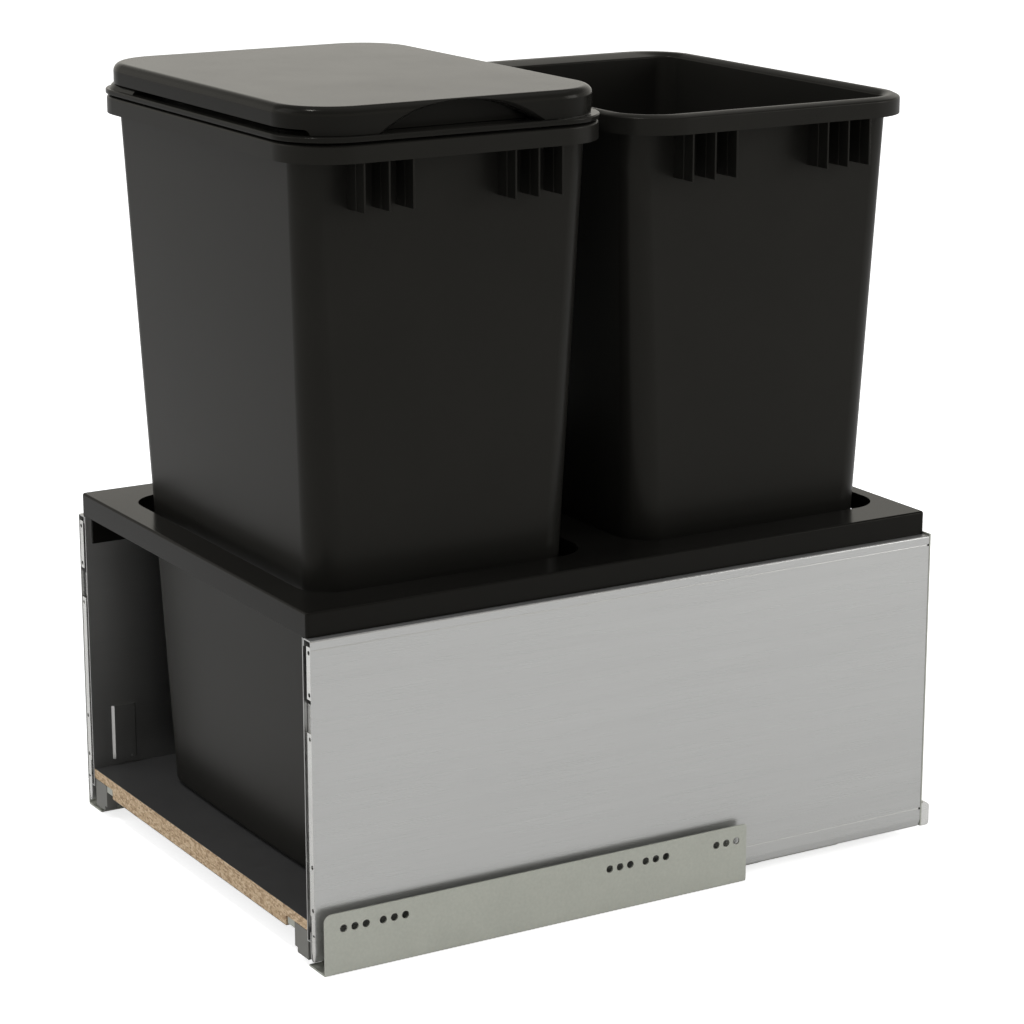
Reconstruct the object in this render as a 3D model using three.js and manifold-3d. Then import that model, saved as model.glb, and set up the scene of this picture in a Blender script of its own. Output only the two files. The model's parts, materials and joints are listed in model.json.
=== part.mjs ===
// Pull-out waste cabinet insert: two waste bins standing in a steel-sided drawer on
// full-extension runners. Millimetres, +Z up. The drawer opens towards -Y.
//
// While the pieces are drawn, X = 0 is the middle of the width, Y = 0 is the front end of
// the drawer sides and Z = 0 is the underside of the runners. The last lines move the whole
// product so that the middle of its depth comes to Y = 0.

import * as THREE from "three";
import { mergeVertices } from "three/addons/utils/BufferGeometryUtils.js";
import Module from "manifold-3d";

// ---------------------------------------------------------------- driving dimensions

const CLEAR_WIDTH = 418;          // between the side panels of a 450 mm kitchen cabinet
const HALF_WIDTH = CLEAR_WIDTH / 2;
const PRODUCT_DEPTH = 549;        // front of the sides to the back of the rear hooks
const GAP = 0.3;                  // between pieces that touch

const SIDE = {
  outer: 201.2,                   // outer face of a drawer side, from the middle
  thickness: 12.8,
  depth: 539.5,
  top: 248.4,
  bottom: 7.9,
  sheet: 1.0,
  creaseFromTop: 7.0,             // height of the two fine creases in the outer face
  creaseFromBottom: 16.5,
};
const SIDE_INNER = SIDE.outer - SIDE.thickness;

const BOARD = { thickness: 16, top: 37.1, rebate: 8, rebateFrom: 153.7 };
const BACK = { front: 524, thickness: 15.8, top: 246 };

const RUNNER = {
  steel: 1.5,
  plateHeight: 46.6,
  plateFront: 3.3,
  plateLength: 363,
  floorFrom: 184,                 // inner edge of the profile's floor
  railFront: 13,
  railBack: 470,
  memberBack: 489,
  travel: 500,
  holeHeight: 34.5,
  holeRadius: 2.9,
  holeFront: 18.6,
  holePitch: 9.1,
  groups: [0, 32, 224, 256, 320], // three screw holes each, on the 32 mm system
};

const TRAY = {
  halfWidth: 194.8,
  front: 0.5,
  back: 539.2,
  bottom: SIDE.top + GAP,
  top: 266.8,
  wall: 2.5,
  cornerRadius: 2.8,
  edgeRadius: 1.8,
  openingHalfWidth: 160,
  openingDepth: 232.5,
  openingFronts: [24, 294.5],
  openingRadius: 28,
  flangeBottom: 226,              // the flanges that hang inside the drawer sides
};

const BIN = {
  fronts: [11.1, 281.3],
  depth: 256.7,
  halfWidth: 178.4,
  rimRadius: 44.4,
  rimTop: 588,
  bandHeight: 14.4,
  wall: 2.4,
  topHalfWidth: 153.8,
  topHalfDepth: 121.6,
  bottomHalfWidth: 141.6,
  bottomHalfDepth: 95.4,
  wallRadius: 28,
  bow: 2.4,                       // the long walls swell this much at the foot
  footRadius: 6,
  ribHeight: 35,
  ribPlaces: [41, 60, 79.5],      // from the middle of each end wall, both ways
  ribStep: 166,                   // where a rib thins towards the band
  ribThick: 2.4,
  ribThin: 1.5,
};

const LID = {
  left: -171.5,
  right: 174.8,
  front: 13.2,
  back: 265.0,
  radius: 46,
  top: 612,
  edgeRadius: 6.5,
  wall: 2.4,
  ringThickness: 3.8,
  ringOverhang: 0.8,
  sideGap: 4.4,                   // how far the skirt stops above the ring at front and back
  hingeX: -164.5,
  hingeHeight: 601,
  hingeSpacing: 110,
  pinRadius: 1.2,
  notchEnd: 161,                  // the side gap's round end
  plinthEnd: -100,
};

// The scoop is a level arch through the lid's free end, flared where it leaves the face.
const SCOOP = { from: 158, radius: 110.5, axisHeight: 499.9, flareFrom: 170, to: 177, flare: 3 };
const BIN_MIDDLE = BIN.fronts.map((front) => front + BIN.depth / 2);

// ---------------------------------------------------------------- materials

function finish(color, roughness, metalness) {
  return new THREE.MeshStandardMaterial({ color, roughness, metalness });
}

const MATERIAL = {
  brushedSteel: () => finish(0xb4b3ae, 0.38, 0.9),
  innerSteel: () => finish(0x6f6f6c, 0.4, 0.85),
  galvanised: () => finish(0xa5a89e, 0.5, 0.75),
  zinc: () => finish(0xc6c6c2, 0.32, 0.9),
  greyPlastic: () => finish(0x84847e, 0.55, 0.0),
  cageBlack: () => finish(0x2a2a2a, 0.5, 0.0),
  binBlack: () => finish(0x1e1e1d, 0.45, 0.0),
  lidBlack: () => finish(0x222221, 0.42, 0.0),
  trayBlack: () => finish(0x1c1c1b, 0.36, 0.0),
  board: () => finish(0x3a3b3d, 0.6, 0.0),
};

// ---------------------------------------------------------------- solids

const wasm = await Module();
wasm.setup();

/** A closed three.js geometry as a solid that can be joined and cut. */
function solid(geometry) {
  const bare = geometry.index ? geometry.toNonIndexed() : geometry.clone();
  bare.deleteAttribute("normal");
  bare.deleteAttribute("uv");
  const merged = mergeVertices(bare, 1e-4);
  return new wasm.Manifold(new wasm.Mesh({
    numProp: 3,
    vertProperties: new Float32Array(merged.attributes.position.array),
    triVerts: new Uint32Array(merged.index.array),
  }));
}

/** The solid as a three.js geometry. */
function geometryOf(body) {
  const mesh = body.getMesh();
  const geometry = new THREE.BufferGeometry();
  geometry.setAttribute("position", new THREE.BufferAttribute(new Float32Array(mesh.vertProperties), 3));
  geometry.setIndex(new THREE.BufferAttribute(new Uint32Array(mesh.triVerts), 1));
  return geometry;
}

function join(bodies) {
  return bodies.reduce((whole, body) => whole.add(body));
}

function cut(body, tools) {
  return tools.reduce((left, tool) => left.subtract(tool), body);
}

/** The same geometry on the other side of the product. */
function mirrored(geometry) {
  const copy = geometry.clone();
  copy.scale(-1, 1, 1);
  const index = copy.index.array;
  for (let i = 0; i < index.length; i += 3) {
    [index[i], index[i + 1]] = [index[i + 1], index[i]];
  }
  return copy;
}

// ---------------------------------------------------------------- outlines

function shapeOf(points) {
  return new THREE.Shape(points.map(([x, y]) => new THREE.Vector2(x, y)));
}

/** A rectangle with round corners. */
function roundedRectangle(x0, x1, y0, y1, radius) {
  const shape = new THREE.Shape();
  shape.moveTo(x0 + radius, y0);
  shape.lineTo(x1 - radius, y0);
  shape.absarc(x1 - radius, y0 + radius, radius, -Math.PI / 2, 0);
  shape.lineTo(x1, y1 - radius);
  shape.absarc(x1 - radius, y1 - radius, radius, 0, Math.PI / 2);
  shape.lineTo(x0 + radius, y1);
  shape.absarc(x0 + radius, y1 - radius, radius, Math.PI / 2, Math.PI);
  shape.lineTo(x0, y0 + radius);
  shape.absarc(x0 + radius, y0 + radius, radius, Math.PI, Math.PI * 1.5);
  return shape;
}

/** The outline of a bent sheet: a path with the sheet's thickness laid on its left side. */
function bentSheet(path, thickness) {
  const points = path.map(([x, y]) => new THREE.Vector2(x, y));
  const normals = points.slice(1).map((point, i) => {
    const along = point.clone().sub(points[i]).normalize();
    return new THREE.Vector2(-along.y, along.x);
  });
  const offset = points.map((point, i) => {
    const before = normals[Math.max(i - 1, 0)];
    const after = normals[Math.min(i, normals.length - 1)];
    const mitre = before.clone().add(after).normalize();
    return point.clone().addScaledVector(mitre, thickness / mitre.dot(after));
  });
  return new THREE.Shape([...points, ...offset.reverse()]);
}

// ---------------------------------------------------------------- extrusions

/** A section in X and Z, run along Y. */
function alongY(section, front, back, curveSegments = 5) {
  const geometry = new THREE.ExtrudeGeometry(section, {
    depth: back - front, bevelEnabled: false, curveSegments,
  });
  geometry.rotateX(Math.PI / 2);
  geometry.translate(0, back, 0);
  return solid(geometry);
}

/** An outline in Y and Z, run along X. */
function alongX(outline, from, to, curveSegments = 5) {
  const geometry = new THREE.ExtrudeGeometry(outline, {
    depth: to - from, bevelEnabled: false, curveSegments,
  });
  geometry.rotateZ(Math.PI / 2);
  geometry.rotateY(Math.PI / 2);
  geometry.translate(from, 0, 0);
  return solid(geometry);
}

/** An outline in X and Y, raised along Z. */
function alongZ(outline, bottom, top, curveSegments = 5) {
  const geometry = new THREE.ExtrudeGeometry(outline, {
    depth: top - bottom, bevelEnabled: false, curveSegments,
  });
  geometry.translate(0, 0, bottom);
  return solid(geometry);
}

function block(x0, x1, y0, y1, z0, z1) {
  const geometry = new THREE.BoxGeometry(x1 - x0, y1 - y0, z1 - z0);
  geometry.translate((x0 + x1) / 2, (y0 + y1) / 2, (z0 + z1) / 2);
  return solid(geometry);
}

const TURN = { x: [0, 0, -Math.PI / 2], y: [0, 0, 0], z: [Math.PI / 2, 0, 0] };

/** A round bar along one axis, centred on a point. */
function bar(axis, radius, length, centre, sides = 16, endRadius = radius) {
  const geometry = new THREE.CylinderGeometry(endRadius, radius, length, sides);
  const [x, y, z] = TURN[axis];
  geometry.rotateX(x);
  geometry.rotateY(y);
  geometry.rotateZ(z);
  geometry.translate(...centre);
  return solid(geometry);
}

// ---------------------------------------------------------------- lofts

/**
 * One ring of a moulding: a rounded rectangle whose long walls may swell outwards.
 * Every ring has the same number of points, in the same places round the ring.
 */
function ring({ halfX, halfY, radius, z, middle = [0, 0], bow = 0, arc = 6, straight = 4 }) {
  const points = [];
  const corners = [[1, -1, -90], [1, 1, 0], [-1, 1, 90], [-1, -1, 180]];
  corners.forEach(([sx, sy, start], i) => {
    for (let k = 0; k <= arc; k += 1) {
      const angle = THREE.MathUtils.degToRad(start + (90 * k) / arc);
      points.push([
        sx * (halfX - radius) + radius * Math.cos(angle),
        sy * (halfY - radius) + radius * Math.sin(angle),
      ]);
    }
    const [nx, ny] = corners[(i + 1) % 4];
    const from = points[points.length - 1];
    const to = [
      nx * (halfX - radius) + radius * Math.cos(THREE.MathUtils.degToRad(start + 90)),
      ny * (halfY - radius) + radius * Math.sin(THREE.MathUtils.degToRad(start + 90)),
    ];
    for (let k = 1; k < straight; k += 1) {
      const t = k / straight;
      points.push([from[0] + (to[0] - from[0]) * t, from[1] + (to[1] - from[1]) * t]);
    }
  });
  return points.map(([x, y]) => {
    const swell = bow * (1 - (x / halfX) ** 2) * (y / halfY);
    return new THREE.Vector3(x + middle[0], y + swell + middle[1], z);
  });
}

/** A solid skinned over rings of points and closed at both ends. */
function loft(rings) {
  const count = rings[0].length;
  const positions = rings.flat().flatMap((p) => [p.x, p.y, p.z]);
  const index = [];
  for (let r = 0; r < rings.length - 1; r += 1) {
    const low = r * count;
    const high = low + count;
    for (let i = 0; i < count; i += 1) {
      const j = (i + 1) % count;
      index.push(low + i, low + j, high + j, low + i, high + j, high + i);
    }
  }
  const cap = (start, flip) => {
    const middle = new THREE.Vector3();
    rings[start].forEach((p) => middle.add(p));
    middle.divideScalar(count);
    positions.push(middle.x, middle.y, middle.z);
    const hub = positions.length / 3 - 1;
    for (let i = 0; i < count; i += 1) {
      const a = start * count + i;
      const b = start * count + ((i + 1) % count);
      index.push(...(flip ? [hub, b, a] : [hub, a, b]));
    }
  };
  cap(0, true);
  cap(rings.length - 1, false);
  const geometry = new THREE.BufferGeometry();
  geometry.setAttribute("position", new THREE.Float32BufferAttribute(positions, 3));
  geometry.setIndex(index);
  return solid(geometry);
}

// ---------------------------------------------------------------- runners (right hand)

/** The L-shaped steel profile that is screwed to the side of the kitchen cabinet. */
function cabinetProfile() {
  const { steel, plateHeight, plateFront, plateLength, floorFrom } = RUNNER;
  const outer = HALF_WIDTH;
  const section = bentSheet([
    [outer, plateHeight],
    [outer, 1.6],
    [outer - 0.5, 0.5],
    [outer - 1.6, 0],
    [floorFrom, 0],
  ].reverse(), steel);
  const back = plateFront + plateLength;
  const blank = alongY(section, plateFront, back);
  const cornerCut = (y, z, radius, sy) => {
    const corner = block(outer - 5, outer + 5, Math.min(y, y + sy * radius), Math.max(y, y + sy * radius),
      z - radius, z + 1);
    return corner.subtract(bar("x", radius, 20, [outer, y + sy * radius, z - radius], 24));
  };
  const holes = RUNNER.groups.flatMap((start) => [0, 1, 2].map((k) => (
    bar("x", RUNNER.holeRadius, 6, [outer, RUNNER.holeFront + start + k * RUNNER.holePitch, RUNNER.holeHeight], 12)
  )));
  return cut(blank, [
    ...holes,
    cornerCut(plateFront, plateHeight, 6, 1),
    cornerCut(back, plateHeight, 2, -1),
    block(outer - 5, outer + 5, plateFront - 1, plateFront + 1.2, 3, 12),
  ]);
}

/** The rail on the profile's floor, on which the lower rollers run. */
function cabinetRail() {
  const z = RUNNER.steel + GAP;
  const section = bentSheet([[184, z], [184, 10], [167, 10], [167, 13.2]], -RUNNER.steel);
  const rail = alongY(section, RUNNER.railFront, RUNNER.railBack);
  return cut(rail, [160, 330].map((y) => block(183, 187, y, y + 60, 4, 8.5)));
}

/** The middle member, an I section with rollers above and below it. */
function intermediateMember() {
  const half = 1.1;
  const web = 175.2;
  const section = shapeOf([
    [168, 15.3], [183, 15.3], [183, 16.5], [web + half, 16.5], [web + half, 21.3], [183, 21.3],
    [183, 22.5], [168, 22.5], [168, 21.3], [web - half, 21.3], [web - half, 16.5], [168, 16.5],
  ]);
  return alongY(section, 20, 420);
}

/** A plastic cage with its row of steel rollers. */
function rollerCage(front, back, middleHeight, radius, pitch) {
  const cage = block(169.5, 182, front, back, middleHeight - 0.6, middleHeight + 0.6);
  const rollers = [];
  for (let y = front + 8; y <= back - 8 + 1e-6; y += pitch) {
    rollers.push(bar("x", radius, 9, [175.7, y, middleHeight], 8));
  }
  return join([cage, ...rollers]);
}

/** The top member, which carries the drawer: a hat over the rollers, with a tab at its front. */
function drawerMember() {
  const section = bentSheet([[188, 3.4], [188, 27.9], [187.1, 28.8], [155.5, 28.8], [155.5, 23.3]], 1.2);
  const member = alongY(section, 12, RUNNER.memberBack);
  const tab = block(155.5, 166, 1.2, 13, 27.6, 28.8).add(block(155.5, 166, 1.2, 2.4, 23.3, 28.8));
  const slots = [60, 240, 420].map((y) => (
    alongZ(roundedRectangle(158.6, 163.4, y, y + 22, 2.3), 26, 31, 2)
  ));
  return cut(member.add(tab), slots);
}

/** The stepped plastic cap on the front of the top member. */
function memberFrontCap() {
  const outline = shapeOf([
    [187.7, 6.4], [187.7, 28.4], [166.6, 28.4], [166.6, 10.2], [170.6, 10.2], [170.6, 6.4],
  ]);
  const cap = alongY(outline, 1, 11.6);
  return cut(cap, [block(168.5, 186, 4, 12.5, 12.5, 26.5)]);
}

/** The soft-closing damper's housing under the rail. */
function softCloseHousing() {
  const body = alongZ(roundedRectangle(167.4, 183.2, 210, 400, 4), 0.5, 9.7);
  const slot = block(164, 176, 214, 284, 4.2, 8.2);
  const relief = [300, 330, 360].map((y) => block(170, 181, y, y + 22, -1, 2.2));
  return cut(body, [slot, ...relief]);
}

/** The damper's catch, a hooked slider that runs in the housing's slot. */
function softCloseCatch() {
  const outline = new THREE.Shape();
  outline.moveTo(165.2, 264);
  outline.lineTo(172.5, 261.5);
  outline.lineTo(175, 261.5);
  outline.lineTo(175, 281);
  outline.lineTo(170, 281);
  outline.lineTo(170, 270.5);
  outline.lineTo(165.2, 268);
  return alongZ(outline, 4.5, 7.9);
}

/** The tab on the top member that meets the damper's catch. */
function softCloseTab() {
  const section = bentSheet([[157.1, 27.2], [157.1, 5], [164.6, 5]], 1.2);
  return alongY(section, 271, 279);
}

// ---------------------------------------------------------------- drawer sides (right hand)

/** The outer skin of a side: flat face, top edge and the tapered foot. */
function sideOuterSkin() {
  const x = SIDE.outer;
  const section = bentSheet([
    [190.1, 242.5], [190.1, 247.2], [190.6, SIDE.top], [x - 1.4, SIDE.top], [x - 0.4, SIDE.top - 0.4],
    [x, SIDE.top - 1.4], [x, 15], [x - 1.6, 9.4], [x - 3.4, SIDE.bottom], [x - 5.2, SIDE.bottom],
    [194.2, 9.6], [193.4, 15], [193.4, 30],
  ], -SIDE.sheet);
  const skin = alongY(section, 0, SIDE.depth);
  const crease = (z) => {
    const depth = 0.35;
    const groove = shapeOf([[x - depth, z], [x + 1, z - 1.2], [x + 1, z + 1.2]]);
    return alongY(groove, -1, SIDE.depth + 1);
  };
  const creases = [SIDE.top - SIDE.creaseFromTop, SIDE.bottom + SIDE.creaseFromBottom];
  const notches = creases.map((z) => block(x - 3, x + 1, SIDE.depth - 1.6, SIDE.depth + 1, z - 1.2, z + 0.4));
  return cut(skin, [...creases.map(crease), ...notches]);
}

/** The inner skin of a side, with its outward foot. */
function sideInnerSkin() {
  const section = bentSheet([[SIDE_INNER, SIDE.top - 0.2], [SIDE_INNER, 22], [192.8, 22]], SIDE.sheet);
  return alongY(section, 0, SIDE.depth);
}

/** The cast block in the front of a side that holds the front brackets. */
function frontFixingBlock() {
  const outline = new THREE.Shape();
  outline.moveTo(2.8, 31);
  outline.lineTo(14, 31);
  outline.lineTo(36, 46);
  outline.lineTo(36, 92);
  outline.absarc(30, 92, 6, 0, Math.PI / 2);
  outline.lineTo(16, 98);
  outline.lineTo(10, 108);
  outline.lineTo(10, 200);
  outline.lineTo(2.8, 200);
  const body = alongX(outline, 190.1, 198.2);
  const pockets = [
    alongX(roundedRectangle(8, 29, 52, 66, 3), 194, 200, 3),
    bar("x", 6.5, 12, [200, 22, 80], 16),
    block(191.6, 199, 5, 12, 118, 140),
    block(191.6, 199, 5, 12, 150, 172),
  ];
  return cut(body, pockets);
}

function bracketHoles(heights) {
  return heights.map((z) => bar("y", 1.7, 8, [197.5, 1, z], 14));
}

/** The upper front bracket: a channel with two flanges that face the cabinet door. */
function frontBracketUpper() {
  const plan = bentSheet([
    [194.9, 0.3], [200.0, 0.3], [200.0, 26], [190.0, 26], [190.0, 0.3], [192.0, 0.3],
  ], 1.2);
  return cut(alongZ(plan, 204.5, 241.8), bracketHoles([208.7, 236.6]));
}

/** The lower front bracket, an angle with three screw holes. */
function frontBracketLower() {
  const plan = bentSheet([[194.9, 0.3], [200.0, 0.3], [200.0, 30]], 1.2);
  return cut(alongZ(plan, 44.4, 181.5), bracketHoles([48.6, 80.6, 176.6]));
}

/** The clip-in cap over the height adjuster, on the inner face of a side. */
function adjusterCap() {
  const face = SIDE_INNER - GAP;
  const plan = shapeOf([[face, 16.8], [face, 37.4], [face - 1.4, 37.4], [face - 2, 36.4], [face - 2, 18.6]]);
  const cap = alongZ(plan, 42.6, 87.6);
  const nick = block(face - 4, face - 1, 28, 33, 41, 44.2);
  return cut(cap, [nick]);
}

/** The steel bracket that closes the rear of a side and is screwed to the back panel. */
function rearBracket() {
  const front = 540.1;
  const plan = bentSheet([[174, front + 4], [174, front], [200.9, front]], 1.2);
  const plate = alongZ(plan, 38.6, 249.6);
  const foot = block(188.5, 200.9, front, front + 1.2, 9, 39);
  const tools = [80, 200].map((z) => bar("y", 2.3, 8, [181, 540.5, z], 12));
  const slope = alongY(shapeOf([[170, 251], [170, 236], [188, 251]]), 538, 546);
  return cut(plate.add(foot), [...tools, slope]);
}

/** A pan-head screw through the rear bracket into the back panel. */
function backScrew(x, z) {
  const head = new THREE.LatheGeometry([
    [0, 0], [3.9, 0], [3.9, 0.7], [2.6, 2.1], [0, 2.1],
  ].map(([r, h]) => new THREE.Vector2(r, h)), 9);
  head.translate(0, 541.6, 0);
  const shank = new THREE.LatheGeometry([
    [0, -19], [0.4, -18.6], [1.6, -14.5], [1.6, 0.3], [0, 0.3],
  ].map(([r, h]) => new THREE.Vector2(r, h)), 6);
  shank.translate(0, 541.6, 0);
  return join([solid(head), solid(shank)]).subtract(
    bar("y", 1.3, 2, [0, 543.7, 0], 6),
  ).translate([x, 0, z]);
}

/** The hook at the rear foot of a side, which drops on to the runner's end. */
function rearHook() {
  const outline = new THREE.Shape();
  outline.moveTo(541.6, 8.6);
  outline.lineTo(PRODUCT_DEPTH - 1.5, 8.6);
  outline.lineTo(PRODUCT_DEPTH, 10.2);
  outline.lineTo(PRODUCT_DEPTH, 25.4);
  outline.lineTo(PRODUCT_DEPTH - 2, 27.4);
  outline.lineTo(543, 28.6);
  outline.lineTo(541.6, 27.4);
  const body = alongX(outline, 190.4, 200.6);
  return cut(body, [block(192.4, 198.6, 543.4, 551, 12, 23)]);
}

// ---------------------------------------------------------------- drawer, all one width

/** The bottom board, rebated at both edges over the runners. */
function bottomBoard() {
  const low = BOARD.top - BOARD.thickness;
  const step = low + BOARD.rebate;
  const edge = SIDE_INNER - GAP;
  const half = [[BOARD.rebateFrom, low], [BOARD.rebateFrom, step], [edge, step], [edge, BOARD.top]];
  const other = half.map(([x, z]) => [-x, z]).reverse();
  return alongY(shapeOf([...half, ...other]), 0.6, SIDE.depth);
}

/** The back panel that stands on the board between the sides. */
function backPanel() {
  const edge = SIDE_INNER - GAP;
  const panel = block(-edge, edge, BACK.front, BACK.front + BACK.thickness, BOARD.top + GAP, BACK.top);
  const pilots = [-181, 181].flatMap((x) => [80, 200].map((z) => bar("y", 1.9, 24, [x, 534.5, z], 12)));
  return cut(panel, pilots);
}

/** The moulded frame over the drawer that steadies both bins. */
function binTray() {
  const { halfWidth, front, back, bottom, top, wall, cornerRadius, edgeRadius } = TRAY;
  const middle = [0, (front + back) / 2];
  const halfDepth = (back - front) / 2;
  const level = (inset, z) => ring({
    halfX: halfWidth - inset, halfY: halfDepth - inset, radius: cornerRadius - Math.min(inset, 4.5), z, middle,
  });
  const fillet = [0, 1, 2, 3].map((k) => {
    const angle = (k / 3) * (Math.PI / 2);
    return level(edgeRadius * (1 - Math.cos(angle)), top - edgeRadius * (1 - Math.sin(angle)));
  });
  const outside = loft([level(0, bottom), ...fillet]);
  const inside = loft([level(wall, bottom - 1), level(wall, top - wall)]);
  const flangeX = SIDE_INNER - GAP;
  const flanges = [-1, 1].map((side) => {
    const from = side > 0 ? flangeX - 2.2 : -flangeX;
    return block(from, from + 2.2, 5, 518, TRAY.flangeBottom, top - wall + 0.5);
  });
  const openingOf = (start, grow) => roundedRectangle(
    -TRAY.openingHalfWidth - grow, TRAY.openingHalfWidth + grow,
    start - grow, start + TRAY.openingDepth + grow, TRAY.openingRadius + grow,
  );
  const collars = TRAY.openingFronts.map((start) => alongZ(openingOf(start, 2.2), top - 14, top - 0.6));
  const holes = TRAY.openingFronts.map((start) => alongZ(openingOf(start, 0), bottom - 40, top + 5));
  return cut(join([outside.subtract(inside), ...flanges, ...collars]), holes);
}

// ---------------------------------------------------------------- waste bins

/** The tapered wall of a bin at a height, inset by the given amount. */
function binWall(height, inset, middle) {
  const foot = BOARD.top + GAP;
  const shoulder = BIN.rimTop - BIN.bandHeight;
  const t = (height - foot) / (shoulder - foot);
  return ring({
    halfX: THREE.MathUtils.lerp(BIN.bottomHalfWidth, BIN.topHalfWidth, t) - inset,
    halfY: THREE.MathUtils.lerp(BIN.bottomHalfDepth, BIN.topHalfDepth, t) - inset,
    radius: BIN.wallRadius - inset,
    bow: BIN.bow * Math.max(1 - t, 0),
    z: height,
    middle: [0, middle],
    arc: 5,
  });
}

/** One reinforcing rib between the end wall and the rim's band, thinner towards the band. */
function binRib(y, side) {
  const top = BIN.rimTop - 2.5;
  const bottom = BIN.rimTop - BIN.bandHeight - BIN.ribHeight;
  const web = (from, to, low, thickness) => {
    const [x0, x1] = [side * from, side * to].sort((a, b) => a - b);
    return block(x0, x1, y - thickness / 2, y + thickness / 2, low, top);
  };
  const thin = web(BIN.ribStep, BIN.halfWidth, bottom, BIN.ribThin);
  return thin.add(web(BIN.topHalfWidth - 1.5, BIN.ribStep + 1, bottom + 0.5, BIN.ribThick));
}

/** A waste bin: tapered, bowed walls, a broad flange at each end and ribs under it. */
function wasteBin(middle) {
  const { wall, footRadius, rimTop } = BIN;
  const foot = BOARD.top + GAP;
  const shoulder = rimTop - BIN.bandHeight;
  const rim = (inset, z) => ring({
    halfX: BIN.halfWidth - inset,
    halfY: BIN.depth / 2 - inset,
    radius: BIN.rimRadius - inset,
    z,
    middle: [0, middle],
    arc: 5,
  });
  const footRound = [0, 1, 2].map((k) => {
    const angle = (k / 2) * (Math.PI / 2);
    return binWall(foot + footRadius * (1 - Math.cos(angle)), footRadius * (1 - Math.sin(angle)), middle);
  });
  const outside = [
    ...footRound,
    binWall((foot + rimTop) / 2, 0, middle),
    binWall(rimTop - 3, 0, middle),
    rim(3, rimTop - 3),
    rim(2.2, shoulder),
    rim(0, shoulder),
    rim(0, rimTop - 2),
    rim(0.6, rimTop - 0.6),
    rim(2, rimTop),
  ];
  const inside = [
    binWall(rimTop, wall - 1.4, middle),
    binWall(rimTop - 2, wall, middle),
    binWall((foot + rimTop) / 2, wall, middle),
    binWall(foot + wall + footRadius, wall, middle),
    binWall(foot + wall, wall + footRadius, middle),
  ];
  const ribs = [-1, 1].flatMap((side) => (
    BIN.ribPlaces.flatMap((place) => [-1, 1].map((way) => binRib(middle + way * place, side)))
  ));
  return join([loft([...outside, ...inside]), ...ribs]);
}

// ---------------------------------------------------------------- lid

const HINGE_PLACES = [-1, 1].map((way) => BIN_MIDDLE[0] + (way * LID.hingeSpacing) / 2);
const RING_BOTTOM = BIN.rimTop + GAP;
const RING_TOP = RING_BOTTOM + LID.ringThickness;

/** The ring that sits on the bin's rim, with a plinth and knuckles at its hinge end. */
function lidRing() {
  const middle = BIN_MIDDLE[0];
  const rim = (inset, z) => ring({
    halfX: BIN.halfWidth + LID.ringOverhang - inset,
    halfY: BIN.depth / 2 + LID.ringOverhang - inset,
    radius: BIN.rimRadius + LID.ringOverhang - inset,
    z,
    middle: [0, middle],
  });
  const plate = loft([rim(0.4, RING_BOTTOM), rim(0, RING_BOTTOM + 0.5), rim(0, RING_TOP - 1.4),
    rim(0.4, RING_TOP - 0.4), rim(1.5, RING_TOP)]);
  const plug = (grow, z) => ring({
    halfX: 148 + grow, halfY: 115.5 + grow, radius: 24 + grow, z, middle: [0, middle],
  });
  const lip = loft([plug(-0.6, RING_BOTTOM - 9), plug(0.6, RING_BOTTOM + 1)]);
  const mouth = loft([plug(-4, RING_BOTTOM - 20), plug(-4, RING_TOP + 10)]);
  const plinthTop = RING_TOP + LID.sideGap - 0.6;
  const raised = loft([rim(2.2, RING_TOP - 0.5), rim(5.6, plinthTop - 0.6), rim(7.2, plinthTop)]);
  const corners = [-1, 1].map((way) => (
    block(-190, LID.plinthEnd, middle + Math.min(way * 104, way * 140), middle + Math.max(way * 104, way * 140),
      RING_TOP - 1, plinthTop + 1)
  ));
  const knuckles = HINGE_PLACES.flatMap((place) => [-1, 1].map((way) => {
    const y = place + way * 10;
    const post = block(LID.hingeX - 2.6, LID.hingeX + 2.6, y - 2, y + 2, RING_TOP - 1, LID.hingeHeight);
    return post.add(bar("y", 2.6, 4, [LID.hingeX, y, LID.hingeHeight], 12));
  }));
  const bores = HINGE_PLACES.map((place) => bar("y", 1.55, 40, [LID.hingeX, place, LID.hingeHeight], 12));
  const plinth = raised.intersect(corners[0].add(corners[1]));
  return cut(join([plate, lip, plinth]), [mouth]).add(join(knuckles)).subtract(bores[0].add(bores[1]));
}

/** The pin of one lid hinge. */
function lidHingePin(place) {
  return bar("y", LID.pinRadius, 23, [LID.hingeX, place, LID.hingeHeight], 12);
}

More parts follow.
